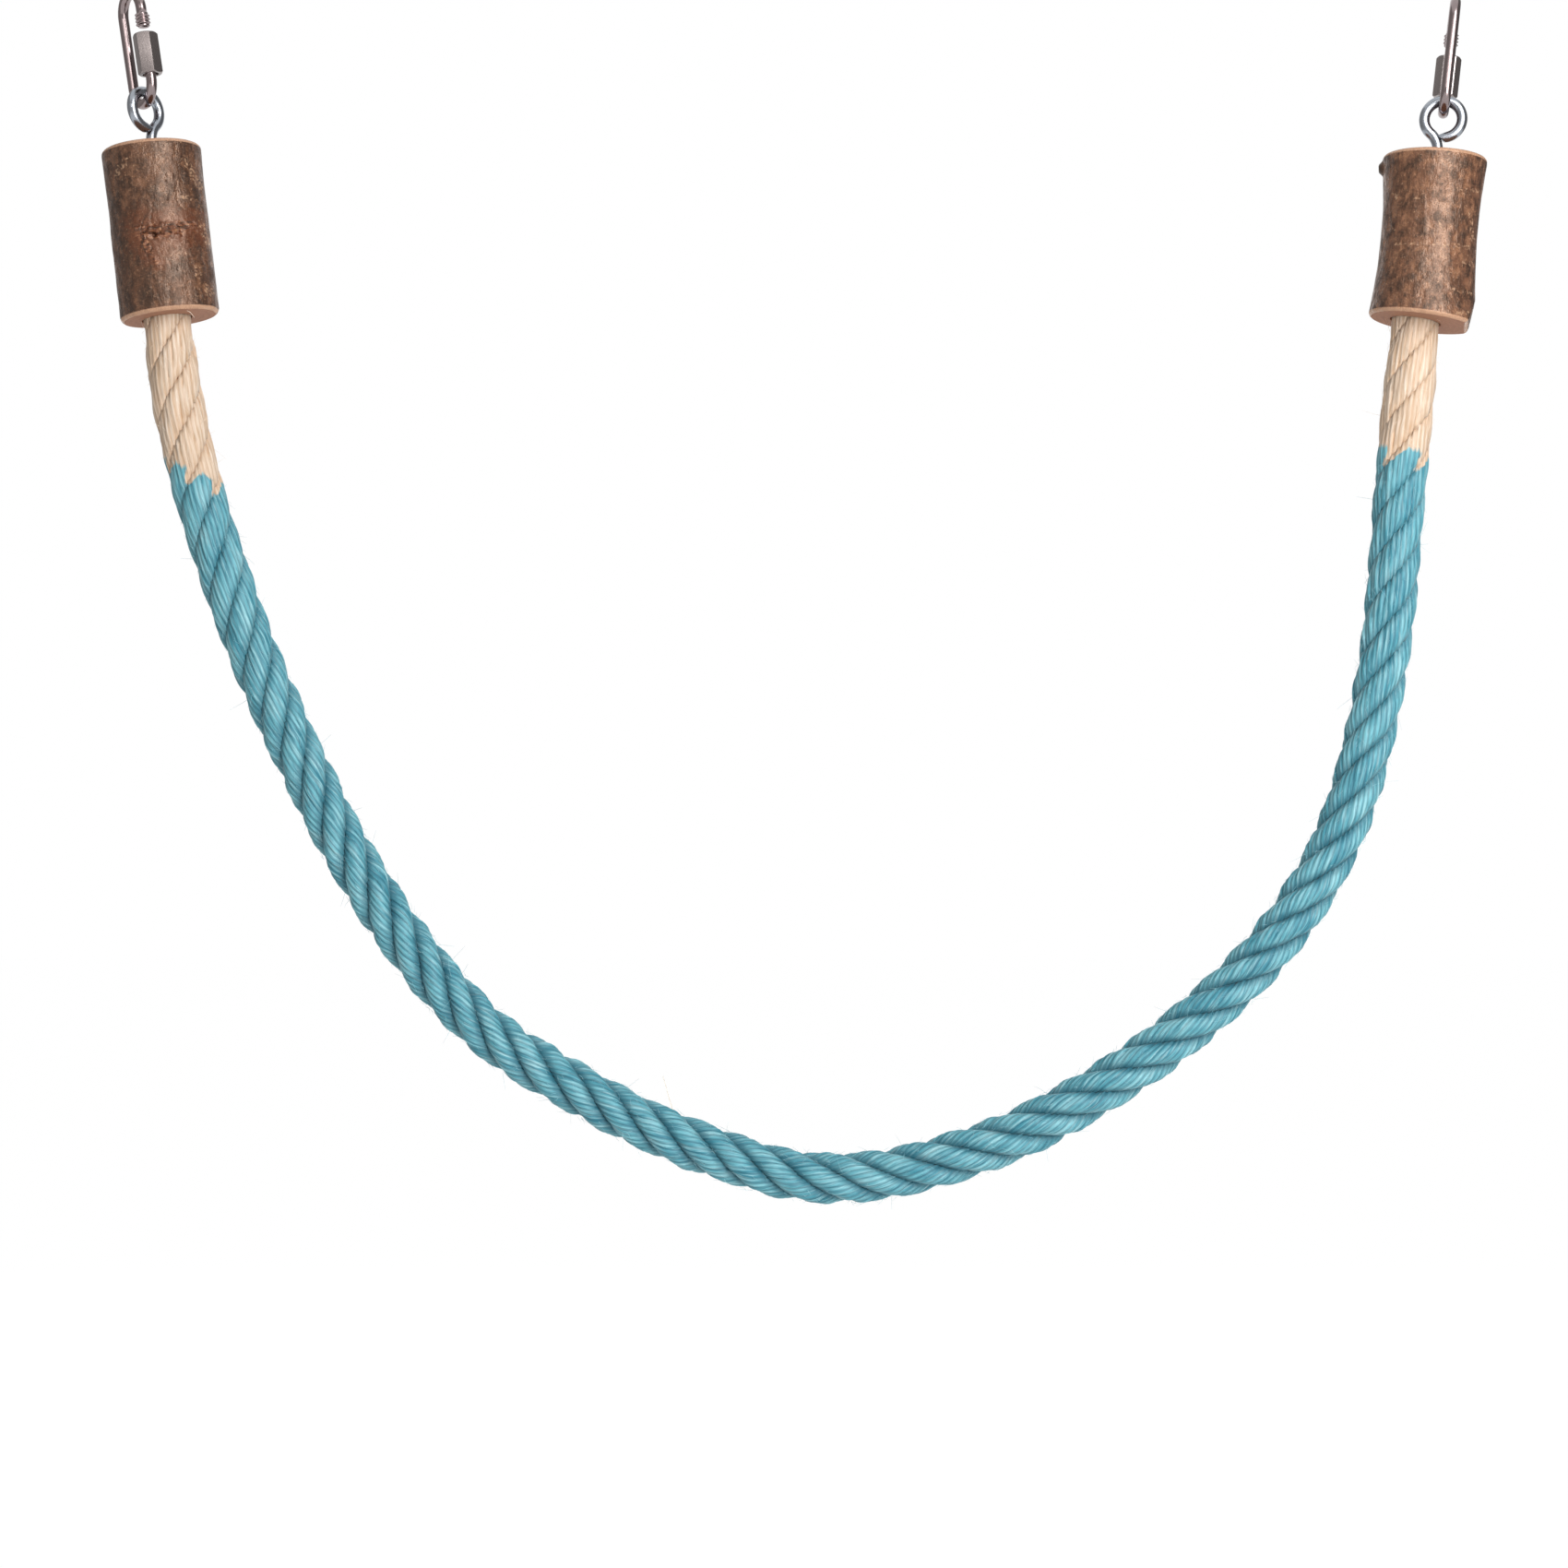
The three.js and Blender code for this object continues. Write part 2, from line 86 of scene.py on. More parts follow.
# The wire's end runs straight on towards the neck and is cut aslant, along it
EYE_END_RUN = 2.9 * MM
EYE_END_STEPS = 3
EYE_END_SLANT = math.radians(34)
HANG_GAP = 0.5 * MM
NECK_STEPS = 12
RING_STEPS = 52

# Branch blocks
BARK = 1.2 * MM
BARK_GAP = 0.03 * MM
RIM_HEIGHT = 2 * MM
RIM_INSET = 1.7 * MM
RIM_EDGE = 1.5 * MM
SEAT_GAP = 0.3 * MM
SOCKET_DEPTH = 30 * MM
SOCKET_RADIUS = 9.5 * MM
BLOCK_SIDES = 288
SOCKET_SIDES = 96
BARK_ROWS = 170
RIM_ROWS = 6
# Rows inside the bark and up the wood, as shares of the length
INSIDE_ROWS = (0.8, 0.5, 0.2)
WOOD_ROWS = (0.1, 0.3, 0.5, 0.7, 0.9)
# The bark's relief stays off what is deeper than this, in millimetres, or nearer to the rims
SKIN_LIMIT = 0.01
RIM_LIMIT = 0.99 * RIM_HEIGHT
# Scars, cracks and specks lie on the front, which ends at this sine of the angle round a branch
FRONT_END = 0.2
# Their ragged edges: reach, waves across and up, and a slice of the noise
RAGGED_EDGES = [(0.6, 0.45, 0.7, 9), (0.35, 1.3, 1.3, 5)]
EDGE_FADE = 1.7
EDGE_LIMIT = 2
# The bark is redder this many times as far from a scar's middle as the scar reaches
RUDDY = 2.8
FLAKE_STEEPNESS = 1.9
# Relief of the bark in millimetres: size across and along of its bumps, then their heights
SWELLS = (7, 16)
RIDGES = (1.6, 7)
CRUMBS = (2.4, 1.1)
GRAINS = (0.7, 0.6)
SWELL_HEIGHT = 0.28
RIDGE_HEIGHT = 0.09
SCAR_HEIGHT = 0.2
SCAR_CRUMB = 1.3
SCAR_GRAIN = 0.4
SLIT_DEPTH = 0.26
LEFT_BRANCH = {
    "length": 65 * MM,
    "radius": 18.1 * MM,
    "oval": 0.3 * MM,
    "top_swell": 0.3 * MM,
    "foot_swell": 0.1 * MM,
    "cut_slant": math.radians(-1.5),
    "chip_depth": 0.0,
    "chip_height": 10 * MM,
    "chip_turn": 0.0,
    "eye_shift": -0.3 * MM,
    "socket_shift": -1.2 * MM,
    "seed": Vector((3.1, 7.7, 1.3)),
    # An old twig scar on the front, as rough lines: across and up at both ends, then half width
    "scars": [
        (-3.6, 31.0, 0.6, 29.8, 3.2), (0.6, 29.6, 6.6, 29.6, 4.0), (6.6, 30.0, 13.8, 31.4, 2.8),
        (-3.6, 28.5, -1.9, 22.4, 2.0), (-1.7, 22.0, 1.4, 18.0, 1.5),
    ],
    # Dark cracks in the bark
    "slits": [
        (8.0, 50.6, 7.5, 47.6, 0.28), (10.4, 51.3, 10.3, 48.7, 0.26), (8.6, 44.7, 7.6, 41.3, 0.28),
        (-4.5, 30.0, -2.3, 34.6, 0.3), (-2.3, 34.6, -0.9, 36.4, 0.28), (0.4, 34.8, 1.7, 38.4, 0.32),
        (-3.5, 30.7, 1.8, 28.4, 0.42), (2.0, 28.2, 3.6, 29.7, 0.36), (3.9, 28.8, 7.2, 29.9, 0.4),
        (-3.1, 28.4, -3.8, 25.1, 0.42), (-3.8, 25.1, -2.4, 20.6, 0.36), (-0.4, 24.0, -1.0, 21.8, 0.32),
        (8.7, 17.2, 7.8, 14.1, 0.24), (5.3, 8.9, 4.1, 6.7, 0.24), (-0.2, 7.3, 0.9, 3.2, 0.24),
        (9.2, 30.3, 13.2, 31.6, 0.3), (0.0, 31.6, 4.4, 31.2, 0.36), (5.0, 31.4, 9.0, 32.2, 0.3),
    ],
    # How strongly the bark is crinkled across and striped along
    "crinkled": 0.6,
    "striped": 0.3,
    # A share of a colour that the whole bark leans to
    "tone": (0.12, (40, 18, 6)),
    # How strongly it is mottled
    "mottled": 0.45,
    # Stretches with pale corky specks
    "specks": [
        (14.7, 57.0, 17.6, 47.0, 1.6), (12.0, 42.6, 16.0, 41.6, 0.9), (16.8, 33.0, 17.6, 26.0, 1.2),
        (14.6, 16.0, 14.4, 12.0, 1.2), (16.4, 9.0, 16.8, 6.0, 1.2), (-11.0, 53.4, -6.6, 57.4, 1.5),
    ],
    "nubs": [],
}
RIGHT_BRANCH = {
    "length": 63 * MM,
    "radius": 17.65 * MM,
    "oval": 0.3 * MM,
    "top_swell": 1.7 * MM,
    "foot_swell": 2.6 * MM,
    "cut_slant": math.radians(5),
    "chip_depth": 3.45 * MM,
    "chip_height": 16.4 * MM,
    "chip_turn": math.radians(-13),
    "eye_shift": 1.9 * MM,
    "socket_shift": -2.7 * MM,
    "seed": Vector((11.9, 2.4, 6.8)),
    "scars": [],
    "slits": [
        (-1.6, 16.4, 0.2, 15.2, 0.26), (0.2, 15.2, 1.8, 16.7, 0.26), (16.2, 9.0, 14.4, 1.4, 0.5),
    ],
    "crinkled": 0.45,
    "striped": 0.6,
    "tone": (0.1, (190, 134, 103)),
    "mottled": 0.85,
    "specks": [
        (5.8, 48.2, 17.0, 50.0, 0.8), (-14.4, 26.4, -6.4, 26.0, 0.7), (-1.4, 26.0, 13.2, 28.0, 0.8),
        (5.4, 10.8, 16.0, 11.6, 0.9), (10.8, 21.8, 15.8, 23.0, 1.1), (11.6, 40.0, 14.6, 31.0, 1.4),
        (-9.0, 43.4, -7.4, 43.0, 0.9), (-0.2, 34.4, 0.6, 32.2, 1.1), (-16.8, 4.6, -15.8, 4.4, 0.9),
        (8.0, 2.2, 13.0, 4.0, 1.0), (-15.4, 45.4, -14.6, 44.0, 0.9), (-16.0, 32.0, -15.0, 31.8, 0.7),
    ],
    # A flake of bark off the top edge: angle round the branch, height, half size, how far off
    "nubs": [(math.radians(168), 58.0, 3.0, 1.5)],
}

# How the two ends hang: lean and turn of the link, lean of the block, turn of the eye
LEFT_HANG = [math.radians(angle) for angle in (-8.3, -52, -6.5, -122)]
RIGHT_HANG = [math.radians(angle) for angle in (6.3, 79, 4.5, -12.7)]

# Middle of the rope from socket to socket, as (right, down) from the origin
ROPE_ROUTE = [
    (0.01091, 0.09385), (0.01407, 0.12157), (0.0152, 0.13151),
    (0.018, 0.152), (0.025, 0.183), (0.034, 0.213), (0.0485, 0.2525), (0.0655, 0.2905),
    (0.085, 0.328), (0.1085, 0.363), (0.137, 0.3935), (0.173, 0.416), (0.211, 0.4345),
    (0.251, 0.447), (0.272, 0.4483), (0.293, 0.446), (0.333, 0.4335), (0.37, 0.414),
    (0.404, 0.3895), (0.434, 0.36), (0.457, 0.325), (0.4705, 0.285), (0.478, 0.2435),
    (0.482, 0.202), (0.4845, 0.172), (0.4865, 0.15),
    (0.48817, 0.13283), (0.48896, 0.12286), (0.49115, 0.09505),
]
ROPE_DIAMETER = 20 * MM
# The rope is squeezed to this share in its seat, and grows to its full size further on
ROPE_SEAT = 0.9
ROPE_SEAT_END = 28 * MM
ROPE_FULL_FROM = 52 * MM
# How far the grooves are filled at the seat, and where that ends
SEAT_FILL = 0.85
SEAT_FILL_END = 100 * MM
STRANDS = 4
LAY_LENGTH = 68 * MM
FIRST_STRAND = math.radians(20)
# From the rope's middle to a strand's
STRAND_CENTRE = 5.1 * MM
# How far the grooves between the strands are filled on the steep sides of the bow
SIDE_FILL = 0.74
# The low stretch of the bow, as a share of the way from its middle to its ends
LOW_STRETCH = 0.88
LOW_BLEND = 0.48
STRAND_OVERLAP = 0.4 * MM
GROOVE_START = 0.85
GROOVE_WIDTH = 0.5
STRAND_WANDER = 0.25 * MM
YARNS = 14
YARN_POINTS = 3
YARN_DEPTH = 0.45 * MM
YARN_UNEVEN = 0.7 * MM
# A yarn's turn in its strand: on the sides it runs along the rope, in the low stretch past that
YARN_TURN = 0.19 / MM
LOW_YARN_TURN = 0.24 / MM
ROPE_STEP = 1.6 * MM
ROUTE_STEPS = 40
LEFT_DYE_START = 86.5 * MM
RIGHT_DYE_START = 77 * MM
# The dye's edge slants across the rope, and the dye doesn't reach as far into the grooves
LEFT_DYE_SLANT = 0.75
RIGHT_DYE_SLANT = -0.1
GROOVE_UNDYED = 7
# Where two strands touch: least cosine, and how soon it darkens with painted shade
LEAST_FACING = 0.2
TOUCH_SHADE = 2.5
# Waves of the strands' wander and of the yarns' unevenness, with steps through the noise
WANDER_LENGTH = 23
WANDER_STRIDE = 5.3
WANDER_SLICE = 1.7
UNEVEN_LENGTH = 9
UNEVEN_YARN_STRIDE = 3.7
UNEVEN_STRAND_STRIDE = 9.1
UNEVEN_BIAS = 0.4
GROOVE_CALM = 0.4
# The fill acts on a strand's outer side, from this cosine on
FILL_START = -0.45
FILL_BLEND = 0.3
# How much a fill lightens the painted shade in the grooves between strands, and how dark the painted
# shade between yarns is
FILLED_SHADE_CUT = 0.8
YARN_GROOVE_SHADE = 0.85
# Strands lie this far apart in the pattern
STRAND_PATTERN = 0.1

# Stray fibres
FIBRES = 2600
LONG_FIBRES = 240
FIBRE_RADIUS = 0.06 * MM
FIBRE_JOINTS = 5
FIBRE_SEED = 12
FIBRE_FREE_RINGS = 16
FIBRE_ROOT = 0.46
FIBRE_TAPER = 0.6
FIBRE_SIDES = 3
# Least and most reach in millimetres, and lift off the rope
LONG_REACH = (4, 11)
LONG_LIFT = (0.1, 0.9)
SHORT_REACH = (1.5, 4)
SHORT_LIFT = (0.1, 0.5)
FIBRE_SLANT = 0.8
FIBRE_CURL = 0.8
FIBRE_DROOP = 0.5
CURL_SHARE = 0.7
# Two stiff hairs that stand off by themselves, as (right, away, up) in millimetres
STIFF_HAIRS = [
    [
        (20.4, -9.0, -119.0), (22.0, -10.0, -119.4), (23.6, -11.0, -120.0),
        (25.4, -11.6, -121.0), (27.0, -12.0, -123.0),
    ],
    [
        (207.7, -2.0, -425.6), (206.3, -2.4, -421.4), (204.9, -2.8, -416.8),
        (203.9, -3.0, -412.9), (202.8, -3.2, -409.1),
    ],
]
STIFF_HAIR_RADIUS = 0.2 * MM
# So far short of the dye, in millimetres
UNDYED = -10

# Camera and light
PICTURE_CENTRE = Vector((0.2488, 0, -0.2985))
PICTURE_WIDTH = 0.5967
CAMERA_DISTANCE = 1.065
SENSOR = 36
FLOOR_HEIGHT = -0.8
FLOOR_SIZE = 14
FLOOR_SHADOW = 0.05
FLOOR_GLOW = 1.03
AMBIENT = 0.45
PAPER = (0.9, 0.9, 0.9, 1)
# Soft lights: place, width, height, power
KEY_LIGHT = ((0.75, -1.0, 0.1), 0.5, 1.1, 13)
BACK_LIGHT = ((0.25, 1.7, 0.0), 1.4, 1.4, 10)
# Studio cards: place, width, height, shade
STUDIO_CARDS = {
    "front_wall": ((0.25, -3.2, -0.2), 9.0, 6.0, 0.5),
    "right_wall": ((2.4, 0.4, -0.2), 4.6, 5.0, 0.22),
    "left_wall": ((-1.9, 0.4, -0.2), 4.6, 5.0, 0.4),
    "bright_front": ((-0.5, -3.0, 0.9), 2.8, 0.6, 1.2),
    "streak": ((0.1, -2.9, 0.86), 1.4, 0.36, 4.5),
    "light_rim": ((0.8, -1.1, 0.1), 0.9, 1.7, 2.2),
}
CARD_TINT = (1.0, 0.97, 0.96)

LEG_OFFSET = (LINK_INSIDE_WIDTH + LINK_BAR) / 2
TOP_BOW = -LINK_INSIDE_WIDTH / 2
BOTTOM_BOW = LINK_INSIDE_WIDTH / 2 - LINK_INSIDE_LENGTH
STUD_TIP = TOP_BOW - STUD_PLAIN_LENGTH - STUD_THREAD_LENGTH
LOWER_TIP = STUD_TIP - LINK_OPENING
LOWER_RUN_OUT = LOWER_TIP - LOWER_THREAD_LENGTH
THREAD_MIDDLE = (THREAD_DIAMETER + THREAD_ROOT) / 4
THREAD_SWING = (THREAD_DIAMETER - THREAD_ROOT) / 4
RING_RADIUS = (EYE_INSIDE + EYE_WIRE) / 2
RING_HEIGHT = -RING_RADIUS
EYE_SEAT = RING_HEIGHT - RING_RADIUS - EYE_WIRE / 2 - EYE_NECK
NECK_REACH = -math.cos(RING_START)
NECK_RADIUS = (RING_RADIUS * NECK_REACH - EYE_SHANK_OFFSET) / (1 - NECK_REACH)
NECK_HEIGHT = RING_HEIGHT + (RING_RADIUS + NECK_RADIUS) * math.sin(RING_START)
WOOD_DEPTH = BARK + BARK_GAP


def limited(value):
    return min(1, max(0, value))


# From 0 to 1 with a soft start and end
def eased(value):
    share = limited(value)
    return share * share * (3 - 2 * share)


# Modelling by hand

def begin():
    bpy.ops.object.select_all(action="DESELECT")


def made(name):
    bpy.ops.object.transform_apply(location=True, rotation=True, scale=True)
    piece = bpy.context.object
    piece.name = name
    piece.data.name = name
    return piece


def pick(piece):
    begin()
    piece.select_set(True)
    bpy.context.view_layer.objects.active = piece


def edit(piece):
    pick(piece)
    bpy.ops.object.mode_set(mode="EDIT")


def done():
    bpy.ops.object.mode_set(mode="OBJECT")


def apply(piece, kind, **settings):
    modifier = piece.modifiers.new(kind.lower(), kind)
    for key, value in settings.items():
        setattr(modifier, key, value)
    pick(piece)
    bpy.ops.object.modifier_apply(modifier=modifier.name)


def cut(piece, tool, operation="DIFFERENCE"):
    apply(piece, "BOOLEAN", operation=operation, object=tool, solver="EXACT")
    bpy.data.objects.remove(tool)


def tidy(piece):
    edit(piece)
    bpy.ops.mesh.select_all(action="SELECT")
    bpy.ops.mesh.remove_doubles(threshold=WELD)
    bpy.ops.mesh.normals_make_consistent(inside=False)
    done()


def smooth(piece, angle=40):
    pick(piece)
    bpy.ops.object.shade_smooth_by_angle(angle=math.radians(angle))


def copied(piece, name):
    twin = piece.copy()
    twin.data = piece.data.copy()
    twin.name = name
    twin.data.name = name
    bpy.context.collection.objects.link(twin)
    return twin


# Numbers for each point of a piece, to be filled in
def marks(piece, *names):
    for name in names:
        if name not in piece.data.attributes:
            piece.data.attributes.new(name, "FLOAT", "POINT")
    return [piece.data.attributes[name].data for name in names]


def meshed(name, vertices, faces, **values):
    mesh = bpy.data.meshes.new(name)
    mesh.from_pydata(vertices, [], faces)
    piece = bpy.data.objects.new(name, mesh)
    bpy.context.collection.objects.link(piece)
    for mark, numbers in zip(marks(piece, *values), values.values()):
        mark.foreach_set("value", numbers)
    return piece


# A piece made round its own zero is put in its place, and keeps its own coordinates for its pattern
def put(piece, matrix, body, node, material):
    mesh = piece.data
    own = mesh.attributes.new("own_place", "FLOAT_VECTOR", "POINT")
    for vertex, place in zip(mesh.vertices, own.data):
        place.vector = vertex.co / MM
    mesh.transform(matrix)
    mesh.update()
    mesh.materials.append(material)
    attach(piece, body)
    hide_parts(node)


# Materials

class Finish:
    """A material, and short ways to add nodes to it."""

    def __init__(self, name):
        self.material = bpy.data.materials.new(name)
        self.material.use_nodes = True
        self.tree = self.material.node_tree
        self.shader = self.tree.nodes["Principled BSDF"]

    def set(self, **values):
        for key, value in values.items():
            self.shader.inputs[key.replace("_", " ")].default_value = value

    def wire(self, output, target):
        self.tree.links.new(output, self.shader.inputs[target])

    def node(self, kind, inputs=(), **settings):
        new_node = self.tree.nodes.new(kind)
        for key, value in settings.items():
            setattr(new_node, key, value)
        for key, value in dict(inputs).items():
            if isinstance(value, bpy.types.NodeSocket):
                self.tree.links.new(value, new_node.inputs[key])
            else:
                new_node.inputs[key].default_value = value
        return new_node

    def attribute(self, name, output="Fac"):
        return self.node("ShaderNodeAttribute", attribute_name=name).outputs[output]

    def stretched(self, vector, scale, shift=(0, 0, 0)):
        inputs = {"Vector": vector, "Scale": scale, "Location": shift}
        return self.node("ShaderNodeMapping", inputs).outputs["Vector"]

    def noise(self, vector, scale, detail=3.0, roughness=0.55):
        inputs = {"Vector": vector, "Scale": scale, "Detail": detail, "Roughness": roughness}
        return self.node("ShaderNodeTexNoise", inputs).outputs["Fac"]

    # Noise that is stretched its own way on each axis
    def grain(self, vector, scale, detail=3.0, roughness=0.55, shift=(0, 0, 0)):
        return self.noise(self.stretched(vector, scale, shift), 1.0, detail, roughness)

    def wandering(self, vector, scale, reach):
        drift = self.node("ShaderNodeTexNoise", {"Vector": self.stretched(vector, scale), "Scale": 1.0})
        middle = {0: drift.outputs["Color"], 1: (0.5, 0.5, 0.5)}
        shift = self.node("ShaderNodeVectorMath", middle, operation="SUBTRACT").outputs["Vector"]
        moved = {0: shift, 1: reach, 2: vector}
        return self.node("ShaderNodeVectorMath", moved, operation="MULTIPLY_ADD").outputs["Vector"]

    def between(self, value, low, high, to_low=0.0, to_high=1.0):
        inputs = {
            "Value": value, "From Min": low, "From Max": high,
            "To Min": to_low, "To Max": to_high,
        }
        return self.node("ShaderNodeMapRange", inputs).outputs["Result"]

    def calc(self, operation, first, second):
        return self.node("ShaderNodeMath", {0: first, 1: second}, operation=operation).outputs[0]

    def mix(self, factor, first, second):
        inputs = {0: factor, 6: first, 7: second}
        return self.node("ShaderNodeMix", inputs, data_type="RGBA").outputs[2]

    # Colours laid over a base, each as strongly as a value has passed from its low to its high mark
    def stained(self, base, *stains):
        for value, low, high, most, tint in stains:
            base = self.mix(self.between(value, low, high, 0.0, most), base, colour(*tint))
        return base

    def show(self, shader):
        self.tree.links.new(shader, self.tree.nodes["Material Output"].inputs["Surface"])

    def bump(self, height, distance, normal=None):
        inputs = {"Height": height, "Distance": distance}
        if normal:
            inputs["Normal"] = normal
        return self.node("ShaderNodeBump", inputs).outputs["Normal"]


# From a screen colour's 0 to 255 to the light that the renderer uses
def linear(value):
    share = value / 255
    return share / 12.92 if share <= 0.04045 else ((share + 0.055) / 1.055) ** 2.4


def colour(red, green, blue):
    return (linear(red), linear(green), linear(blue), 1.0)


# A metal whose shade and polish follow a grain, which comes back with it
def metal_finish(name, scale, detail, pale, dark, polish):
    metal = Finish(name)
    grain = metal.grain(metal.attribute("own_place", "Vector"), scale, detail)
    metal.wire(metal.mix(grain, colour(*pale), colour(*dark)), "Base Color")
    metal.wire(metal.between(grain, 0.3, 0.7, *polish), "Roughness")
    metal.set(Metallic=1.0)
    return metal, grain


def steel_finish():
    rubbed = (2.0, 2.0, 0.3)
    steel, _ = metal_finish("stainless_bar", rubbed, 4.0, (160, 147, 147), (138, 124, 124), (0.13, 0.2))
    return steel.material


def nut_finish():
    brushed = (9.0, 9.0, 0.25)
    nut, grain = metal_finish("brushed_nut", brushed, 3.0, (164, 156, 154), (140, 131, 129), (0.24, 0.34))
    nut.wire(nut.bump(grain, 0.02 * MM), "Normal")
    return nut.material


def zinc_finish():
    cloudy = (0.5, 0.5, 0.5)
    zinc, _ = metal_finish("zinc_plate", cloudy, 4.0, (172, 177, 184), (146, 152, 160), (0.17, 0.26))
    dimples = zinc.noise(zinc.attribute("own_place", "Vector"), 1.6, 2.0)
    zinc.wire(zinc.bump(dimples, 0.03 * MM), "Normal")
    return zinc.material


# Young bark with its sanded rims
def bark_finish(name, branch):
    bark = Finish(name)
    place = bark.attribute("own_place", "Vector")
    height = bark.attribute("height")
    shift = tuple(branch["seed"])
    cloud = bark.grain(place, (0.17, 0.17, 0.11), 3.0, 0.5, shift)
    blotch = bark.grain(place, (0.3, 0.3, 0.24), 4.0, 0.55, shift)
    fibre = bark.grain(place, (2.2, 2.2, 0.4), 3.0, 0.55, shift)
    crinkle = bark.grain(place, (0.75, 0.75, 1.5), 3.0, 0.6, shift)
    fine = bark.grain(place, (4.0, 4.0, 2.6), 3.0, 0.6, shift)
    grey = bark.grain(place, (0.2, 0.2, 0.15), 3.0, 0.6, (7, 3, 5))
    dots = bark.grain(place, (0.85, 0.85, 1.0), 2.0, 0.5, shift)
    ragged = bark.noise(place, 1.3, 3.0, 0.6)
    dots = bark.calc("ADD", dots, bark.between(bark.attribute("speck"), 0.0, 0.8, 0.0, 0.17))
    specks = bark.between(dots, 0.64, 0.86)
    rough = bark.grain(place, (0.4, 0.4, 0.95), 4.0, 0.65)
    across = branch["crinkled"]
    along = branch["striped"]
    mottled = branch["mottled"]
    everywhere = (1.0, 0.0, 1.0)
    base = bark.stained(
        colour(54, 32, 21),
        (cloud, 0.38, 0.62, 1.0, (104, 68, 48)),
        (grey, 0.52, 0.7, 0.45, (82, 64, 55)),
        (*everywhere, *branch["tone"]),
        (blotch, 0.52, 0.62, mottled, (38, 21, 13)),
        (blotch, 0.47, 0.37, mottled, (150, 107, 80)),
        (crinkle, 0.54, 0.7, across, (44, 26, 17)),
        (crinkle, 0.45, 0.3, across, (134, 95, 70)),
        (fibre, 0.55, 0.7, along, (136, 97, 73)),
        (fibre, 0.45, 0.3, along, (44, 26, 18)),
        (fine, 0.55, 0.72, 0.3, (38, 22, 15)),
        (bark.attribute("ruddy"), 0.0, 1.0, 0.7, (104, 55, 31)),
        (specks, 0.0, 1.0, 0.8, (196, 156, 124)),
    )
    torn = bark.stained(
        colour(36, 18, 11),
        (rough, 0.4, 0.5, 1.0, (110, 60, 36)),
        (rough, 0.54, 0.66, 1.0, (178, 126, 90)),
    )
    base = bark.mix(bark.calc("MULTIPLY", bark.attribute("scar"), 0.9), base, torn)
    base = bark.stained(
        base,
        (bark.attribute("slit"), 0.0, 1.0, 0.75, (42, 25, 17)),
        (bark.attribute("nub"), 0.1, 0.8, 0.85, (52, 40, 34)),
    )
    length = branch["length"] / MM
    edge = bark.calc("MINIMUM", height, bark.calc("SUBTRACT", length, height))
    edge = bark.calc("ADD", edge, bark.between(ragged, 0.2, 0.8, -0.14, 0.14))
    rim = bark.between(edge, RIM_EDGE / MM + 0.1, RIM_EDGE / MM - 0.2)
    sanded = bark.stained(colour(200, 158, 128), (fine, 0.35, 0.65, 1.0, (176, 132, 104)))
    bark.wire(bark.mix(rim, base, sanded), "Base Color")
    bark.wire(bark.between(blotch, 0.38, 0.62, 0.22, 0.48), "Roughness")
    bumps = bark.bump(fine, 0.025 * MM)
    bumps = bark.bump(fibre, 0.12 * MM, bumps)
    bumps = bark.bump(crinkle, 0.25 * across * MM, bumps)
    bumps = bark.bump(blotch, 0.7 * MM, bumps)
    bark.wire(bumps, "Normal")
    bark.set(Specular_IOR_Level=0.75, Specular_Tint=(1.0, 0.78, 0.63, 1.0))
    return bark.material


def wood_finish():
    wood = Finish("sawn_wood")
    place = wood.attribute("own_place", "Vector")
    across = wood.stretched(place, (1, 1, 0))
    radius = wood.node("ShaderNodeVectorMath", {0: across}, operation="LENGTH")
    wobble = wood.calc("MULTIPLY", wood.noise(place, 0.12, 2.0), 3.0)
    years = wood.calc("MULTIPLY", wood.calc("ADD", radius.outputs["Value"], wobble), 0.42)
    rings = wood.calc("FRACT", years, 0.0)
    grain = wood.grain(place, (1.8, 1.8, 0.5), 4.0, 0.6)
    base = wood.stained(
        colour(178, 130, 104),
        (grain, 0.3, 0.7, 1.0, (154, 108, 84)),
        (rings, 0.55, 1.0, 0.4, (140, 95, 73)),
    )
    wood.wire(base, "Base Color")
    wood.wire(wood.bump(grain, 0.08 * MM), "Normal")
    wood.set(Roughness=0.68, Specular_IOR_Level=0.3)
    return wood.material


def glue_finish():
    glue = Finish("set_glue")
    cloudy = glue.noise(glue.node("ShaderNodeTexCoord").outputs["Object"], 400.0, 3.0)
    glue.wire(glue.mix(cloudy, colour(222, 208, 170), colour(196, 178, 132)), "Base Color")
    glue.set(Roughness=0.45)
    return glue.material


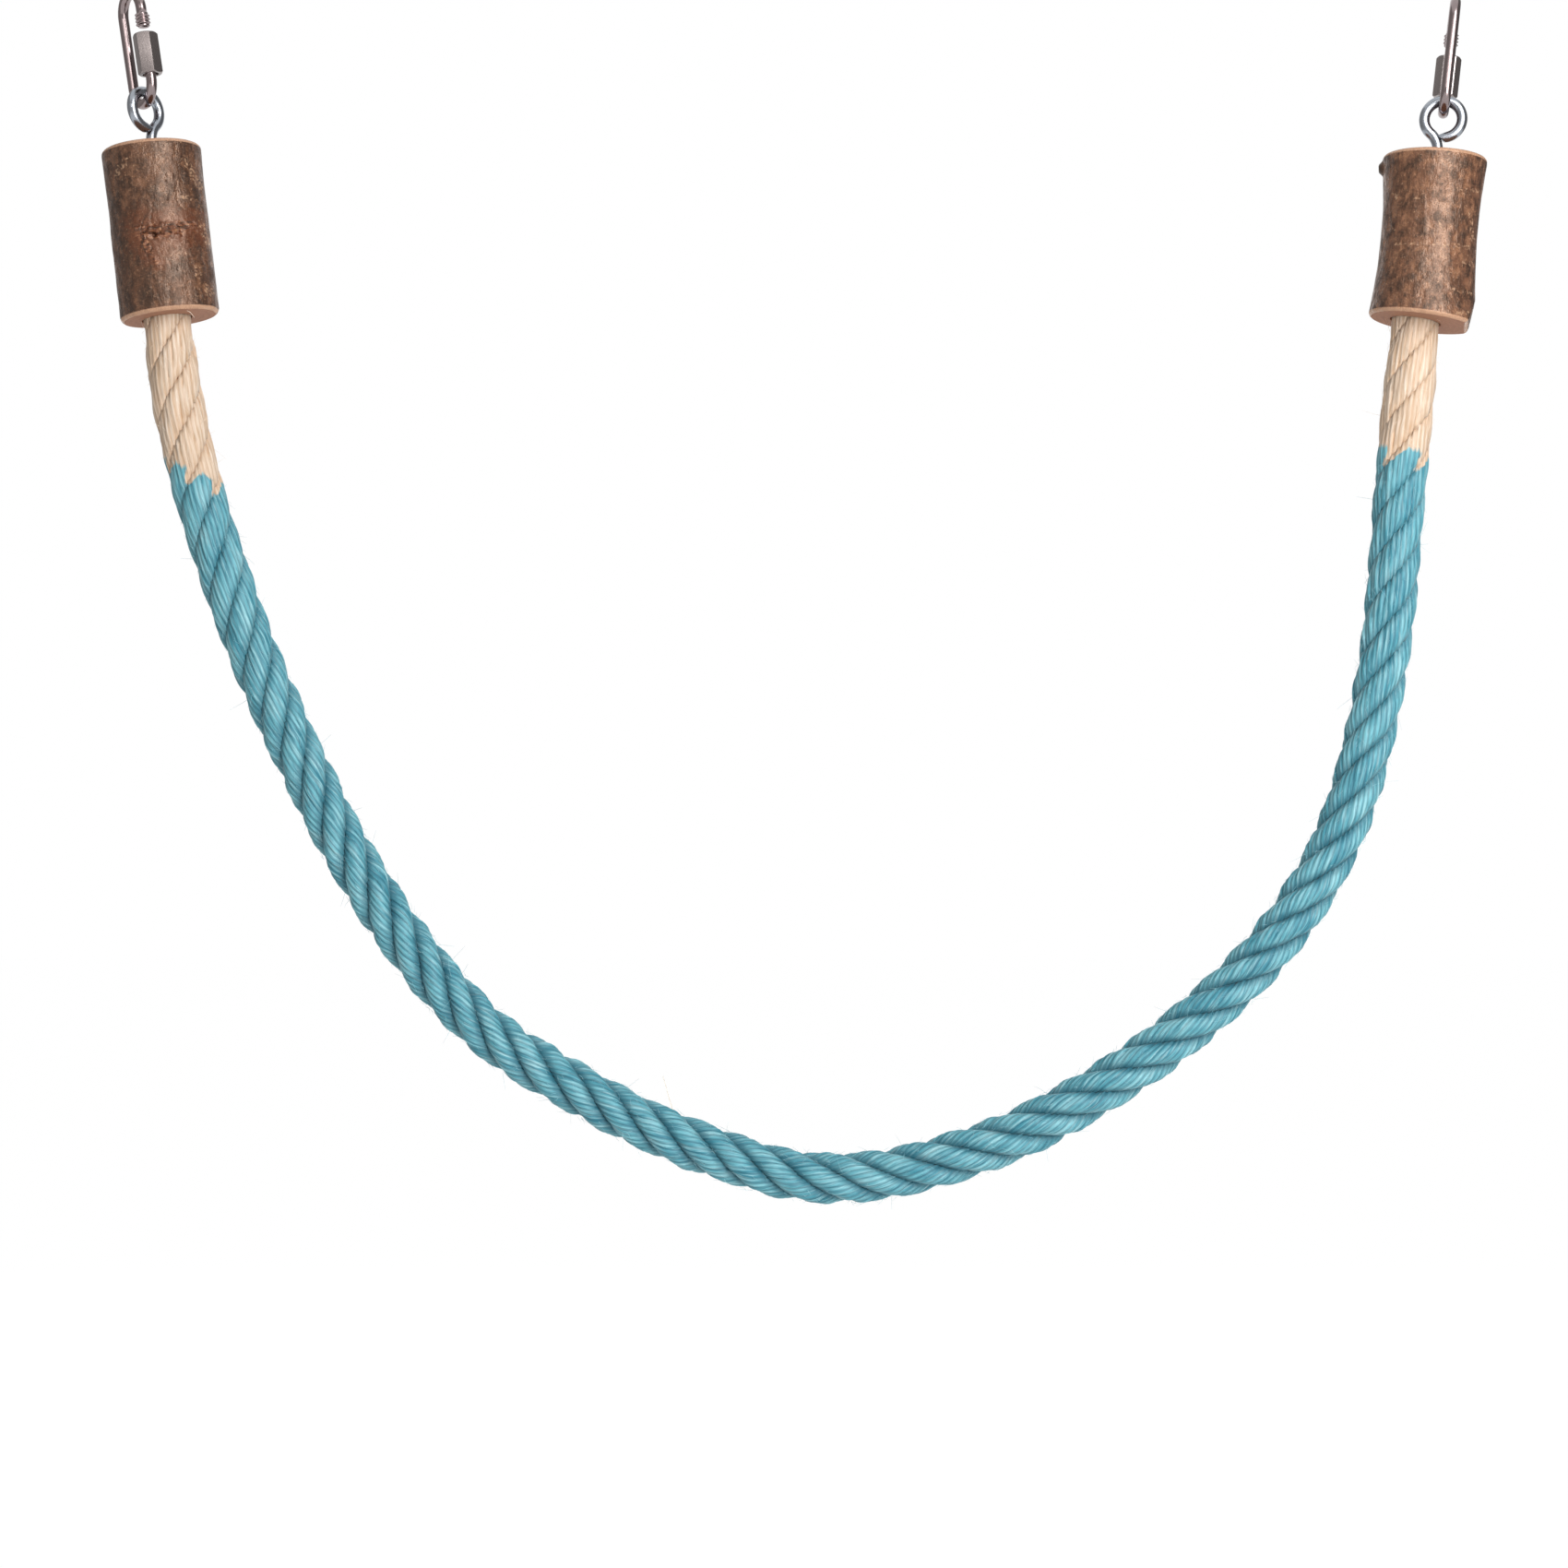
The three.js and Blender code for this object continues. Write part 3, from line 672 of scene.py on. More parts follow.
def rope_finish():
    rope = Finish("laid_fibre_rope")
    yarn = rope.node("ShaderNodeUVMap", uv_map="yarn").outputs["UV"]
    groove = rope.attribute("groove")
    loose = rope.wandering(yarn, (220, 65, 1), (0.0035, 0, 0))
    hair = rope.grain(loose, (1900, 75, 1), 4.0, 0.6)
    streak = rope.grain(loose, (520, 36, 1), 3.0, 0.6)
    patch = rope.grain(yarn, (110, 40, 1), 3.0, 0.6, (5, 2, 0))
    ragged = rope.between(streak, 0.25, 0.75, -2.2, 2.2)
    dyed = rope.between(rope.calc("ADD", rope.attribute("dye"), ragged), -0.7, 0.9)
    teal = rope.stained(
        colour(61, 145, 163),
        (patch, 0.36, 0.64, 1.0, (118, 190, 202)),
        # pale streaks: paler fibres, and painted glints on them
        (streak, 0.5, 0.66, 0.75, (158, 212, 220)),
        (streak, 0.46, 0.32, 0.6, (44, 116, 136)),
        (hair, 0.48, 0.34, 0.6, (40, 110, 130)),
        # pale hairs: paler fibres, and painted glints on them
        (hair, 0.54, 0.68, 0.45, (198, 228, 230)),
        # painted shade in the grooves between strands and between yarns
        (groove, 0.0, 1.0, 0.7, (26, 84, 102)),
    )
    cream = rope.stained(
        colour(228, 208, 187),
        (streak, 0.38, 0.62, 1.0, (208, 181, 154)),
        (patch, 0.55, 0.68, 0.4, (214, 174, 138)),
        (hair, 0.48, 0.34, 0.55, (198, 162, 128)),
        # pale hairs: paler fibres, and painted glints on them
        (hair, 0.54, 0.68, 0.55, (252, 244, 232)),
        # painted shade in the grooves between strands and between yarns
        (groove, 0.0, 1.0, 0.58, (188, 148, 109)),
    )
    rope.wire(rope.mix(dyed, cream, teal), "Base Color")
    rope.wire(rope.between(hair, 0.3, 0.7, 0.42, 0.62), "Roughness")
    rope.wire(rope.bump(streak, 0.2 * MM, rope.bump(hair, 0.16 * MM)), "Normal")
    rope.set(Specular_IOR_Level=0.4, Sheen_Weight=0.12, Sheen_Roughness=0.45)
    return rope.material


def stray_finish():
    stray = Finish("stray_fibre")
    pale = stray.noise(stray.node("ShaderNodeTexCoord").outputs["Object"], 90.0, 2.0)
    teal = stray.mix(pale, colour(96, 168, 184), colour(186, 222, 226))
    dyed = stray.between(stray.attribute("dye"), -1.0, 1.0)
    stray.wire(stray.mix(dyed, colour(236, 222, 202), teal), "Base Color")
    stray.set(Roughness=0.5, Specular_IOR_Level=0.4)
    return stray.material


# Quick links

# The open ring of points at the end of a bar is drawn out by a step
def draw_out(step):
    bpy.ops.mesh.extrude_region_move(TRANSFORM_OT_translate={"value": step})


# Bending goes round an axis that points away from the viewer
def bend(steps, angle, middle):
    bpy.ops.mesh.spin(steps=steps, angle=angle, center=middle, axis=AWAY)


def pick_open_edges():
    bpy.ops.mesh.select_all(action="DESELECT")
    bpy.ops.mesh.select_non_manifold(extend=False)


def close_ends(piece):
    pick_open_edges()
    bpy.ops.mesh.fill_holes(sides=0)
    done()
    tidy(piece)


def start_bar(name, radius, place):
    begin()
    bpy.ops.mesh.primitive_circle_add(vertices=BAR_SIDES, radius=radius, location=place)
    bar = made(name)
    edit(bar)
    bpy.ops.mesh.select_all(action="SELECT")
    return bar


# A screw thread: the ring swings round the bar's middle once in each pitch
def draw_thread(bottom, length):
    middle = Vector((LEG_OFFSET, 0, bottom))
    radius = LINK_BAR / 2
    steps = round(THREAD_STEPS * length / THREAD_PITCH)
    for step in range(1, steps + 1):
        risen = length * step / steps
        fade = min(1, risen / THREAD_FADE, (length - risen) / THREAD_FADE)
        angle = math.tau * risen / THREAD_PITCH
        swing = Vector((math.cos(angle), math.sin(angle), 0)) * THREAD_SWING * fade
        place = Vector((LEG_OFFSET, 0, bottom + risen)) + swing
        wider = LINK_BAR / 2 + (THREAD_MIDDLE - LINK_BAR / 2) * fade
        draw_out(place - middle)
        bpy.ops.transform.resize(value=[wider / radius] * 3, center_override=place)
        middle = place
        radius = wider


def bent_link():
    link = start_bar("left_link", LINK_BAR / 2, (LEG_OFFSET, 0, STUD_TIP))
    draw_thread(STUD_TIP, STUD_THREAD_LENGTH)
    draw_out((0, 0, STUD_PLAIN_LENGTH))
    bend(BOW_STEPS, math.pi, (0, 0, TOP_BOW))
    draw_out((0, 0, BOTTOM_BOW - TOP_BOW))
    bend(BOW_STEPS, math.pi, (0, 0, BOTTOM_BOW))
    draw_out((0, 0, LOWER_RUN_OUT - BOTTOM_BOW))
    draw_thread(LOWER_RUN_OUT, LOWER_THREAD_LENGTH)
    close_ends(link)
    smooth(link, angle=50)
    return link


def cylinder(name, radius, bottom, top, sides, across=(0, 0), turn=0):
    begin()
    bpy.ops.mesh.primitive_cylinder_add(
        vertices=sides, radius=radius, depth=top - bottom,
        location=(*across, (bottom + top) / 2), rotation=(0, 0, turn),
    )
    return made(name)


# A hexagon sleeve: the corners of both ends are turned off, then it is bored through
def sleeve_nut(name, open_gap, turn):
    corner = NUT_ACROSS_FLATS / math.sqrt(3)
    top = STUD_TIP - open_gap
    bottom = top - NUT_LENGTH
    leg = (LEG_OFFSET, 0)
    nut = cylinder(name, corner, bottom, top, NUT_SIDES, leg, turn)
    corners = cylinder("corners", corner, bottom, top, TURNING_SIDES, leg)
    apply(corners, "BEVEL", width=corner - NUT_ACROSS_FLATS / 2, segments=1, limit_method="ANGLE")
    cut(nut, corners, "INTERSECT")
    bore = THREAD_DIAMETER / 2 + NUT_CLEARANCE
    cut(nut, cylinder("bore", bore, bottom - LINK_BAR, top + LINK_BAR, BORE_SIDES, leg))
    tidy(nut)
    apply(nut, "BEVEL", width=NUT_EDGE, segments=3, limit_method="ANGLE", angle_limit=NUT_EDGE_ANGLE)
    smooth(nut, angle=35)
    return nut


# Screw eyes

def bent_eye():
    tip = EYE_SEAT - EYE_SHANK_IN_WOOD
    eye = start_bar("left_eye", EYE_TIP_RADIUS, (-EYE_SHANK_OFFSET, 0, tip))
    draw_out((0, 0, EYE_POINT))
    wider = EYE_WIRE / 2 / EYE_TIP_RADIUS
    bpy.ops.transform.resize(
        value=(wider, wider, 1), center_override=(-EYE_SHANK_OFFSET, 0, tip + EYE_POINT)
    )
    draw_out((0, 0, NECK_HEIGHT - tip - EYE_POINT))
    neck_middle = (-EYE_SHANK_OFFSET - NECK_RADIUS, 0, NECK_HEIGHT)
    bend(NECK_STEPS, RING_START - math.pi, neck_middle)
    middle = Vector((0, 0, RING_HEIGHT))
    bend(RING_STEPS, RING_END - RING_START, middle)
    place = middle + Vector((math.cos(RING_END), 0, math.sin(RING_END))) * RING_RADIUS
    step = Vector((math.sin(RING_END), 0, -math.cos(RING_END))) * EYE_END_RUN / EYE_END_STEPS
    slant = EYE_END_SLANT / EYE_END_STEPS
    for _ in range(EYE_END_STEPS):
        draw_out(step)
        place += step
        bpy.ops.transform.rotate(value=slant, orient_axis="Y", center_override=place)
    close_ends(eye)
    apply(
        eye, "BEVEL", width=EYE_CUT_EDGE, segments=2, limit_method="ANGLE", angle_limit=EYE_CUT_ANGLE
    )
    smooth(eye)
    return eye


# Branch blocks

def branch_radius(branch, angle, height):
    along = height / branch["length"]
    top = branch["top_swell"] * max(0, 2 * along - 1) ** 2
    foot = branch["foot_swell"] * max(0, 1 - 2 * along) ** 2
    round_radius = branch["radius"] + top + foot + branch["oval"] * math.cos(2 * angle)
    facing = math.cos(angle - branch["chip_turn"])
    if facing <= 0 or height >= branch["chip_height"]:
        return round_radius
    depth = branch["chip_depth"] * (1 - height / branch["chip_height"])
    return min(round_radius, (branch["radius"] + branch["foot_swell"] - depth) / facing)


def branch_place(branch, angle, height, depth):
    slope = math.tan(branch["cut_slant"]) * (1 - height / branch["length"])
    radius = branch_radius(branch, angle, height) - depth
    x = radius * math.cos(angle)
    return Vector((x, radius * math.sin(angle), height - slope * x))


# Rows of (height, depth) over the rounded rim at a branch's foot, from one depth out to another
def rim_rows(deep, shallow):
    start = math.acos(1 - deep / RIM_INSET)
    end = math.acos(1 - shallow / RIM_INSET)
    rows = []
    for row in range(RIM_ROWS + 1):
        angle = start + (end - start) * row / RIM_ROWS
        rows.append((RIM_HEIGHT * (1 - math.sin(angle)), RIM_INSET * (1 - math.cos(angle))))
    return rows


def at_the_top(branch, rows):
    return [(branch["length"] - height, depth) for height, depth in reversed(rows)]


# Rows of (height, depth) round a branch, from an open cylinder cut into as many rows
def branch_skin(name, branch, rows):
    begin()
    length = branch["length"]
    bpy.ops.mesh.primitive_cylinder_add(
        vertices=BLOCK_SIDES, radius=branch["radius"], depth=length,
        end_fill_type="NOTHING", location=(0, 0, length / 2),
    )
    skin = made(name)
    edit(skin)
    bpy.ops.mesh.select_all(action="DESELECT")
    done()
    bpy.context.tool_settings.mesh_select_mode = (False, True, False)
    for edge in skin.data.edges:
        low, high = (skin.data.vertices[index].co.z for index in edge.vertices)
        edge.select = abs(high - low) > length / 2
    edit(skin)
    bpy.ops.mesh.subdivide(number_cuts=len(rows) - 2)
    done()
    heights, depths = marks(skin, "height", "depth")
    for vertex in skin.data.vertices:
        height, depth = rows[round(vertex.co.z / length * (len(rows) - 1))]
        angle = math.atan2(vertex.co.y, vertex.co.x)
        vertex.co = branch_place(branch, angle, height, depth)
        heights[vertex.index].value = height / MM
        depths[vertex.index].value = depth / MM
    return skin


# How near a place on the front of a branch is to lines drawn on it: 1 on a line, 0 beside it
def on_lines(branch, kind, angle, height, wider=1):
    if math.sin(angle) > FRONT_END:
        return 0
    here = Vector((branch["radius"] / MM * math.cos(angle), height / MM))
    most = 0
    for across, up, end_across, end_up, half_width in branch[kind]:
        half_width *= wider
        start = Vector((across, up))
        along = Vector((end_across, end_up)) - start
        share = limited((here - start).dot(along) / along.length_squared)
        apart = (here - start - along * share).length / half_width
        if apart > EDGE_LIMIT:
            continue
        for reach, wide, tall, own in RAGGED_EDGES:
            apart += reach * noise.noise(Vector((here.x * wide, here.y * tall, half_width * own)))
        most = max(most, min(1, EDGE_FADE - EDGE_FADE * apart))
    return max(0, most)


# How far a place on the bark stands off for flakes, in millimetres
def on_nubs(branch, angle, height):
    off = 0
    for nub_angle, nub_height, half_size, stand_off in branch["nubs"]:
        across = math.sin(angle - nub_angle) * branch["radius"] / MM
        rise = height / MM - nub_height
        if math.cos(angle - nub_angle) > 0:
            reach = max(0, 1 - math.hypot(across, rise) / half_size)
            off = max(off, stand_off * min(1, FLAKE_STEEPNESS * reach))
    return off


def bark_relief(branch, angle, height, scar, slit):
    x = branch["radius"] / MM * math.cos(angle)
    y = branch["radius"] / MM * math.sin(angle)
    bumps = []
    for across, along in (SWELLS, RIDGES, CRUMBS, GRAINS):
        spot = Vector((x / across, y / across, height / MM / along))
        bumps.append(noise.noise(spot + branch["seed"]))
    swell, ridge, crumb, grain = bumps
    relief = SWELL_HEIGHT * swell + RIDGE_HEIGHT * ridge
    relief += scar * (SCAR_HEIGHT + SCAR_CRUMB * crumb + SCAR_GRAIN * grain)
    return (relief - SLIT_DEPTH * slit + on_nubs(branch, angle, height)) * MM


# A shell of bark: over the sanded rim, up the outside, over the upper rim, down the inside
def bark_shell(name, branch):
    top = branch["length"] - RIM_HEIGHT
    rim = rim_rows(BARK, 0)
    step = (top - RIM_HEIGHT) / (BARK_ROWS + 1)
    skin = [(RIM_HEIGHT + step * (row + 1), 0) for row in range(BARK_ROWS)]
    inside = [(branch["length"] * share, BARK) for share in INSIDE_ROWS]
    shell = branch_skin(name, branch, rim + skin + at_the_top(branch, rim) + inside)
    names = ("height", "depth", "scar", "slit", "nub", "ruddy", "speck")
    heights, depths, scars, slits, nubs, ruddies, specks = marks(shell, *names)
    for vertex in shell.data.vertices:
        height = heights[vertex.index].value * MM
        edge = min(height, branch["length"] - height)
        if depths[vertex.index].value > SKIN_LIMIT or edge < RIM_LIMIT:
            continue
        angle = math.atan2(vertex.co.y, vertex.co.x)
        scar = on_lines(branch, "scars", angle, height)
        slit = on_lines(branch, "slits", angle, height)
        scars[vertex.index].value = scar
        slits[vertex.index].value = slit
        nubs[vertex.index].value = on_nubs(branch, angle, height)
        ruddies[vertex.index].value = on_lines(branch, "scars", angle, height, RUDDY)
        specks[vertex.index].value = on_lines(branch, "specks", angle, height)
        relief = bark_relief(branch, angle, height, scar, slit)
        vertex.co.x += relief * math.cos(angle)
        vertex.co.y += relief * math.sin(angle)
    edit(shell)
    pick_open_edges()
    bpy.ops.mesh.bridge_edge_loops()
    done()
    tidy(shell)
    smooth(shell, angle=32)
    return shell


# Wood of a block: sanded rims, the rope's socket and the eye's hole
def block_wood(name, branch, eye_across):
    length = branch["length"]
    rim = rim_rows(RIM_INSET, WOOD_DEPTH)
    middle = [(length * share, WOOD_DEPTH) for share in WOOD_ROWS]
    wood = branch_skin(name, branch, rim + middle + at_the_top(branch, rim))
    edit(wood)
    close_ends(wood)
    socket = (branch["socket_shift"], 0)
    cut(wood, cylinder("socket", SOCKET_RADIUS, -SOCKET_DEPTH, SOCKET_DEPTH, SOCKET_SIDES, socket))
    floor = length - EYE_SHANK_IN_WOOD - SEAT_GAP
    hole = EYE_WIRE / 2 + SEAT_GAP
    cut(wood, cylinder("hole", hole, floor, length + EYE_WIRE, BORE_SIDES, eye_across))
    tidy(wood)
    smooth(wood, angle=32)
    return wood


# Rope

# Places along a centripetal curve through the route, with their distances from its start
def rope_middle():
    route = [Vector((right, 0, -down)) for right, down in ROPE_ROUTE]
    route = [2 * route[0] - route[1], *route, 2 * route[-1] - route[-2]]
    places = []
    for before, start, end, after in zip(route, route[1:], route[2:], route[3:]):
        first = math.sqrt((start - before).length)
        second = math.sqrt((end - start).length)
        third = math.sqrt((after - end).length)
        leave = (start - before) / first - (end - before) / (first + second) + (end - start) / second
        meet = (end - start) / second - (after - start) / (second + third) + (after - end) / third
        for step in range(ROUTE_STEPS):
            t = step / ROUTE_STEPS
            leaving = t * (1 - t) * (1 - t)
            meeting = t * t * (1 - t)
            bow = leave * second * leaving - meet * second * meeting
            places.append(start + (end - start) * eased(t) + bow)
    places.append(route[-2])
    distances = [0]
    for near, far in zip(places, places[1:]):
        distances.append(distances[-1] + (far - near).length)
    return places, distances


# Rings at even distances: each has its distance, middle, way sideways in the bow and way along
def rope_rings():
    places, distances = rope_middle()
    length = distances[-1]
    count = round(length / ROPE_STEP)
    rings = []
    index = 0
    for ring in range(count + 1):
        distance = length * ring / count
        while index < len(places) - 2 and distances[index + 1] < distance:
            index += 1
        run = places[index + 1] - places[index]
        share = (distance - distances[index]) / (distances[index + 1] - distances[index])
        rings.append((distance, places[index] + run * share))
    full = []
    for number, (distance, middle) in enumerate(rings):
        ahead = rings[min(number + 1, count)][1]
        behind = rings[max(number - 1, 0)][1]
        along = (ahead - behind).normalized()
        full.append((distance, middle, Vector((along.z, 0, -along.x)), along))
    return full


# Two ways across the rope at a turn round it: outward, and on round it
def across_rope(side, turn):
    outward = side * math.cos(turn) + AWAY * math.sin(turn)
    return outward, AWAY * math.cos(turn) - side * math.sin(turn)


# From a strand's middle to its skin: round outside, flat where it lies against its neighbours.
# With it goes how deep in a groove the place is, from 0 to 1, which also sets the painted shade there.
def strand_reach(angle):
    off = abs((angle + math.pi) % math.tau - math.pi)
    half_wedge = math.pi / STRANDS
    flat = STRAND_CENTRE * math.sin(half_wedge) + STRAND_OVERLAP
    facing = math.cos(off - math.pi / 2 - half_wedge)
    reach = ROPE_DIAMETER / 2 - STRAND_CENTRE
    touching = 0
    if facing > LEAST_FACING and flat / facing < reach:
        touching = min(1, TOUCH_SHADE * (1 - flat / facing / reach))
        reach = flat / facing
    groove = max(touching, limited((off - GROOVE_START) / GROOVE_WIDTH))
    return reach, groove


# 1 along the low stretch of the bow, 0 on its steep sides
def low_share(distance, length):
    return eased((LOW_STRETCH - abs(2 * distance / length - 1)) / LOW_BLEND)


# How far a place on the rope is past the edge of the dye, in millimetres: above 0 is dyed
def dye_reach(distance, length, sideways, groove):
    left = (distance - LEFT_DYE_START) + LEFT_DYE_SLANT * sideways
    right = (length - distance - RIGHT_DYE_START) + RIGHT_DYE_SLANT * sideways
    return min(left, right) / MM - GROOVE_UNDYED * groove


# The rope's share of its full size: it is squeezed in its sockets
def squeeze(distance, length):
    inside = min(distance, length - distance)
    share = (inside - ROPE_SEAT_END) / (ROPE_FULL_FROM - ROPE_SEAT_END)
    return ROPE_SEAT + (1 - ROPE_SEAT) * eased(share)


# How far the grooves are filled, from 0 to 1
def groove_fill(distance, length):
    filled = SIDE_FILL * (1 - low_share(distance, length))
    inside = min(distance, length - distance)
    loose = limited((inside - ROPE_SEAT_END) / (SEAT_FILL_END - ROPE_SEAT_END))
    return SEAT_FILL + (filled - SEAT_FILL) * loose


# Faces of a tube, from its points ring after ring, with both ends closed
def tube_faces(first, rings, around):
    faces = []
    for ring in range(rings - 1):
        low = first + ring * around
        high = low + around
        for point in range(around):
            following = (point + 1) % around
            faces.append((low + point, low + following, high + following, high + point))
    last = first + (rings - 1) * around
    faces.append(tuple(range(first + around - 1, first - 1, -1)))
    faces.append(tuple(range(last, last + around)))
    return faces


def lay_rope():
    rings = rope_rings()
    length = rings[-1][0]
    around = YARNS * YARN_POINTS
    turns = [0]
    for near, far in zip(rings, rings[1:]):
        rate = YARN_TURN + (LOW_YARN_TURN - YARN_TURN) * low_share(near[0], length)
        turns.append(turns[-1] + rate * (far[0] - near[0]))
    vertices = []
    faces = []
    uvs = []
    dyes = []
    grooves = []
    for strand in range(STRANDS):
        first = len(vertices)
        for (distance, middle, side, _), yarn_turn in zip(rings, turns):
            turn = FIRST_STRAND + math.tau * (strand / STRANDS + distance / LAY_LENGTH)
            outward, onward = across_rope(side, turn)
            wave = Vector((distance / MM / WANDER_LENGTH, strand * WANDER_STRIDE, WANDER_SLICE))
            wander = noise.noise(wave) * STRAND_WANDER
            size = squeeze(distance, length)
            packed = groove_fill(distance, length)
            uneven_height = distance / MM / UNEVEN_LENGTH
            uneven_depth = strand * UNEVEN_STRAND_STRIDE
            for point in range(around):
                yarn, part = divmod(point, YARN_POINTS)
                angle = math.tau * point / around - yarn_turn
                reach, groove = strand_reach(angle)
                crown = math.sqrt(1 - (2 * part / YARN_POINTS - 1) ** 2)
                wave = Vector((uneven_height, yarn * UNEVEN_YARN_STRIDE, uneven_depth))
                uneven = max(-1, noise.noise(wave) - UNEVEN_BIAS)
                swell = uneven * YARN_UNEVEN * (1 - GROOVE_CALM * groove)
                reach += (crown - 1) * YARN_DEPTH + swell + wander * (1 - groove)
                out = STRAND_CENTRE + reach * math.cos(angle)
                spot = outward * out + onward * reach * math.sin(angle)
                outer = limited((math.cos(angle) - FILL_START) / FILL_BLEND)
                full = ROPE_DIAMETER / 2 - (1 - crown) * YARN_DEPTH + swell
                spot *= 1 + packed * outer * (full / spot.length - 1)
                vertices.append(middle + spot * size)
                dyes.append(dye_reach(distance, length, spot.dot(side), groove))
                # The groove mark is painted shade: deep between strands, lighter where the grooves are
                # filled, and between yarns
                strand_groove_shade = groove * (1 - FILLED_SHADE_CUT * packed)
                grooves.append(max(strand_groove_shade, YARN_GROOVE_SHADE * (1 - crown)))
        width = math.tau * (ROPE_DIAMETER / 2 - STRAND_CENTRE) / around
        faces += tube_faces(first, len(rings), around)
        for (bottom, *_), (top, *_) in zip(rings, rings[1:]):
            for point in range(around):
                left = strand * STRAND_PATTERN + point * width
                uvs += [(left, bottom), (left + width, bottom), (left + width, top), (left, top)]
        uvs += [(strand * STRAND_PATTERN, 0)] * (2 * around)
    rope = meshed("rope", vertices, faces, dye=dyes, groove=grooves)
    layer = rope.data.uv_layers.new(name="yarn")
    layer.data.foreach_set("uv", [value for uv in uvs for value in uv])
    smooth(rope, angle=75)
    return rope, rings


# Loose fibres: thin curved hairs that leave the rope's skin, most of them lying along it
def stray_fibres(rings):
    draw = random.Random(FIBRE_SEED)
    length = rings[-1][0]
    last = len(rings) - FIBRE_FREE_RINGS
    hairs = []
    for fibre in range(FIBRES):
        distance, middle, side, along = rings[draw.randrange(FIBRE_FREE_RINGS, last)]
        turn = draw.uniform(0, math.tau)
        outward, across = across_rope(side, turn)
        is_long = fibre < LONG_FIBRES
        reach = draw.uniform(*(LONG_REACH if is_long else SHORT_REACH)) * MM
        lift = draw.uniform(*(LONG_LIFT if is_long else SHORT_LIFT))
        heading = along * draw.choice((-1, 1)) + across * draw.uniform(-FIBRE_SLANT, FIBRE_SLANT)
        heading.normalize()
        curl = across * draw.uniform(-FIBRE_CURL, FIBRE_CURL)
        curl -= outward * draw.uniform(0, FIBRE_DROOP) * lift
        start = middle + outward * ROPE_DIAMETER * FIBRE_ROOT
        spine = []
        for joint in range(FIBRE_JOINTS):
            share = joint / (FIBRE_JOINTS - 1)
            path = heading * (1 - lift) + outward * lift + curl * share * CURL_SHARE
            spine.append(start + path * reach * share)
        dye = dye_reach(distance, length, outward.dot(side) * ROPE_DIAMETER / 2, 0)
        hairs.append((spine, across, FIBRE_RADIUS, dye))
    for places in STIFF_HAIRS:
        hairs.append(([Vector(place) * MM for place in places], AWAY, STIFF_HAIR_RADIUS, UNDYED))
    return hair_mesh(hairs)


def hair_mesh(hairs):
    vertices = []
    faces = []
    dyes = []
    for spine, across, radius, dye in hairs:
        first = len(vertices)
        upward = (spine[-1] - spine[0]).cross(across).normalized()
        for joint, place in enumerate(spine):
            thin = radius * (1 - FIBRE_TAPER * joint / (FIBRE_JOINTS - 1))
            for corner in range(FIBRE_SIDES):
                angle = math.tau * corner / FIBRE_SIDES
                vertices.append(place + (across * math.cos(angle) + upward * math.sin(angle)) * thin)
                dyes.append(dye)
        faces += tube_faces(first, FIBRE_JOINTS, FIBRE_SIDES)
    fibres = meshed("stray_fibres", vertices, faces, dye=dyes)
    tidy(fibres)
    return fibres


# Putting it together

def turned(lean, turn):
    return Matrix.Rotation(lean, 4, "Y") @ Matrix.Rotation(turn, 4, "Z")


def dress_end(side, parts, finishes, hang, branch):
    link, nut, eye = parts
    link_lean, link_turn, block_lean, eye_turn = hang
    mounts = {mount["name"]: mount["pos_m"] for mount in frame["record"]["mounts"]}
    saddle = Matrix.Translation(mounts[f"{side}_hanging_bow"]) @ turned(link_lean, link_turn)
    wire_height = EYE_WIRE / 2 + HANG_GAP - LINK_INSIDE_LENGTH
    eye_top = Matrix.Translation(saddle @ Vector((0, 0, wire_height))) @ turned(block_lean, 0)
    block = eye_top @ Matrix.Translation((-branch["eye_shift"], 0, EYE_SEAT - branch["length"]))
    shank = Matrix.Rotation(eye_turn, 4, "Z") @ Vector((-EYE_SHANK_OFFSET, 0, 0))
    wood = block_wood(f"{side}_wood", branch, (branch["eye_shift"] + shank.x, shank.y))
    bark = bark_shell(f"{side}_bark", branch)
    ring = eye_top @ Matrix.Rotation(eye_turn, 4, "Z")
    put(link, saddle, "hangers", f"{side}_quick_link", finishes["steel"])
    put(nut, saddle, f"{side}_nut", f"{side}_link_nut", finishes["nut"])
    put(eye, ring, "swing", f"{side}_screw_eye", finishes["zinc"])
    put(wood, block, "swing", f"{side}_block_wood", finishes["wood"])
    put(bark, block, "swing", f"{side}_block_bark", finishes[f"{side}_bark"])
    glue = frame["nodes"][f"{side}_glue"]
    glue.data.materials.clear()
    glue.data.materials.append(finishes["glue"])


def dress_rope():
    rope, rings = lay_rope()
    rope.data.materials.append(rope_finish())
    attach(rope, "swing")
    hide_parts("left_rope_end", "rope_span", "right_rope_end")
    fibres = stray_fibres(rings)
    fibres.data.materials.append(stray_finish())
    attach(fibres, "swing")


# Stage

# 1 for a ray that shows the background: from the camera, in metal or through something clear
def seen(tree):
    path = tree.nodes.new("ShaderNodeLightPath")
    value = path.outputs["Is Camera Ray"]
    for kind in ("Is Glossy Ray", "Is Transmission Ray"):
        larger = tree.nodes.new("ShaderNodeMath")
        larger.operation = "MAXIMUM"
        tree.links.new(value, larger.inputs[0])
        tree.links.new(path.outputs[kind], larger.inputs[1])
        value = larger.outputs[0]
    return value


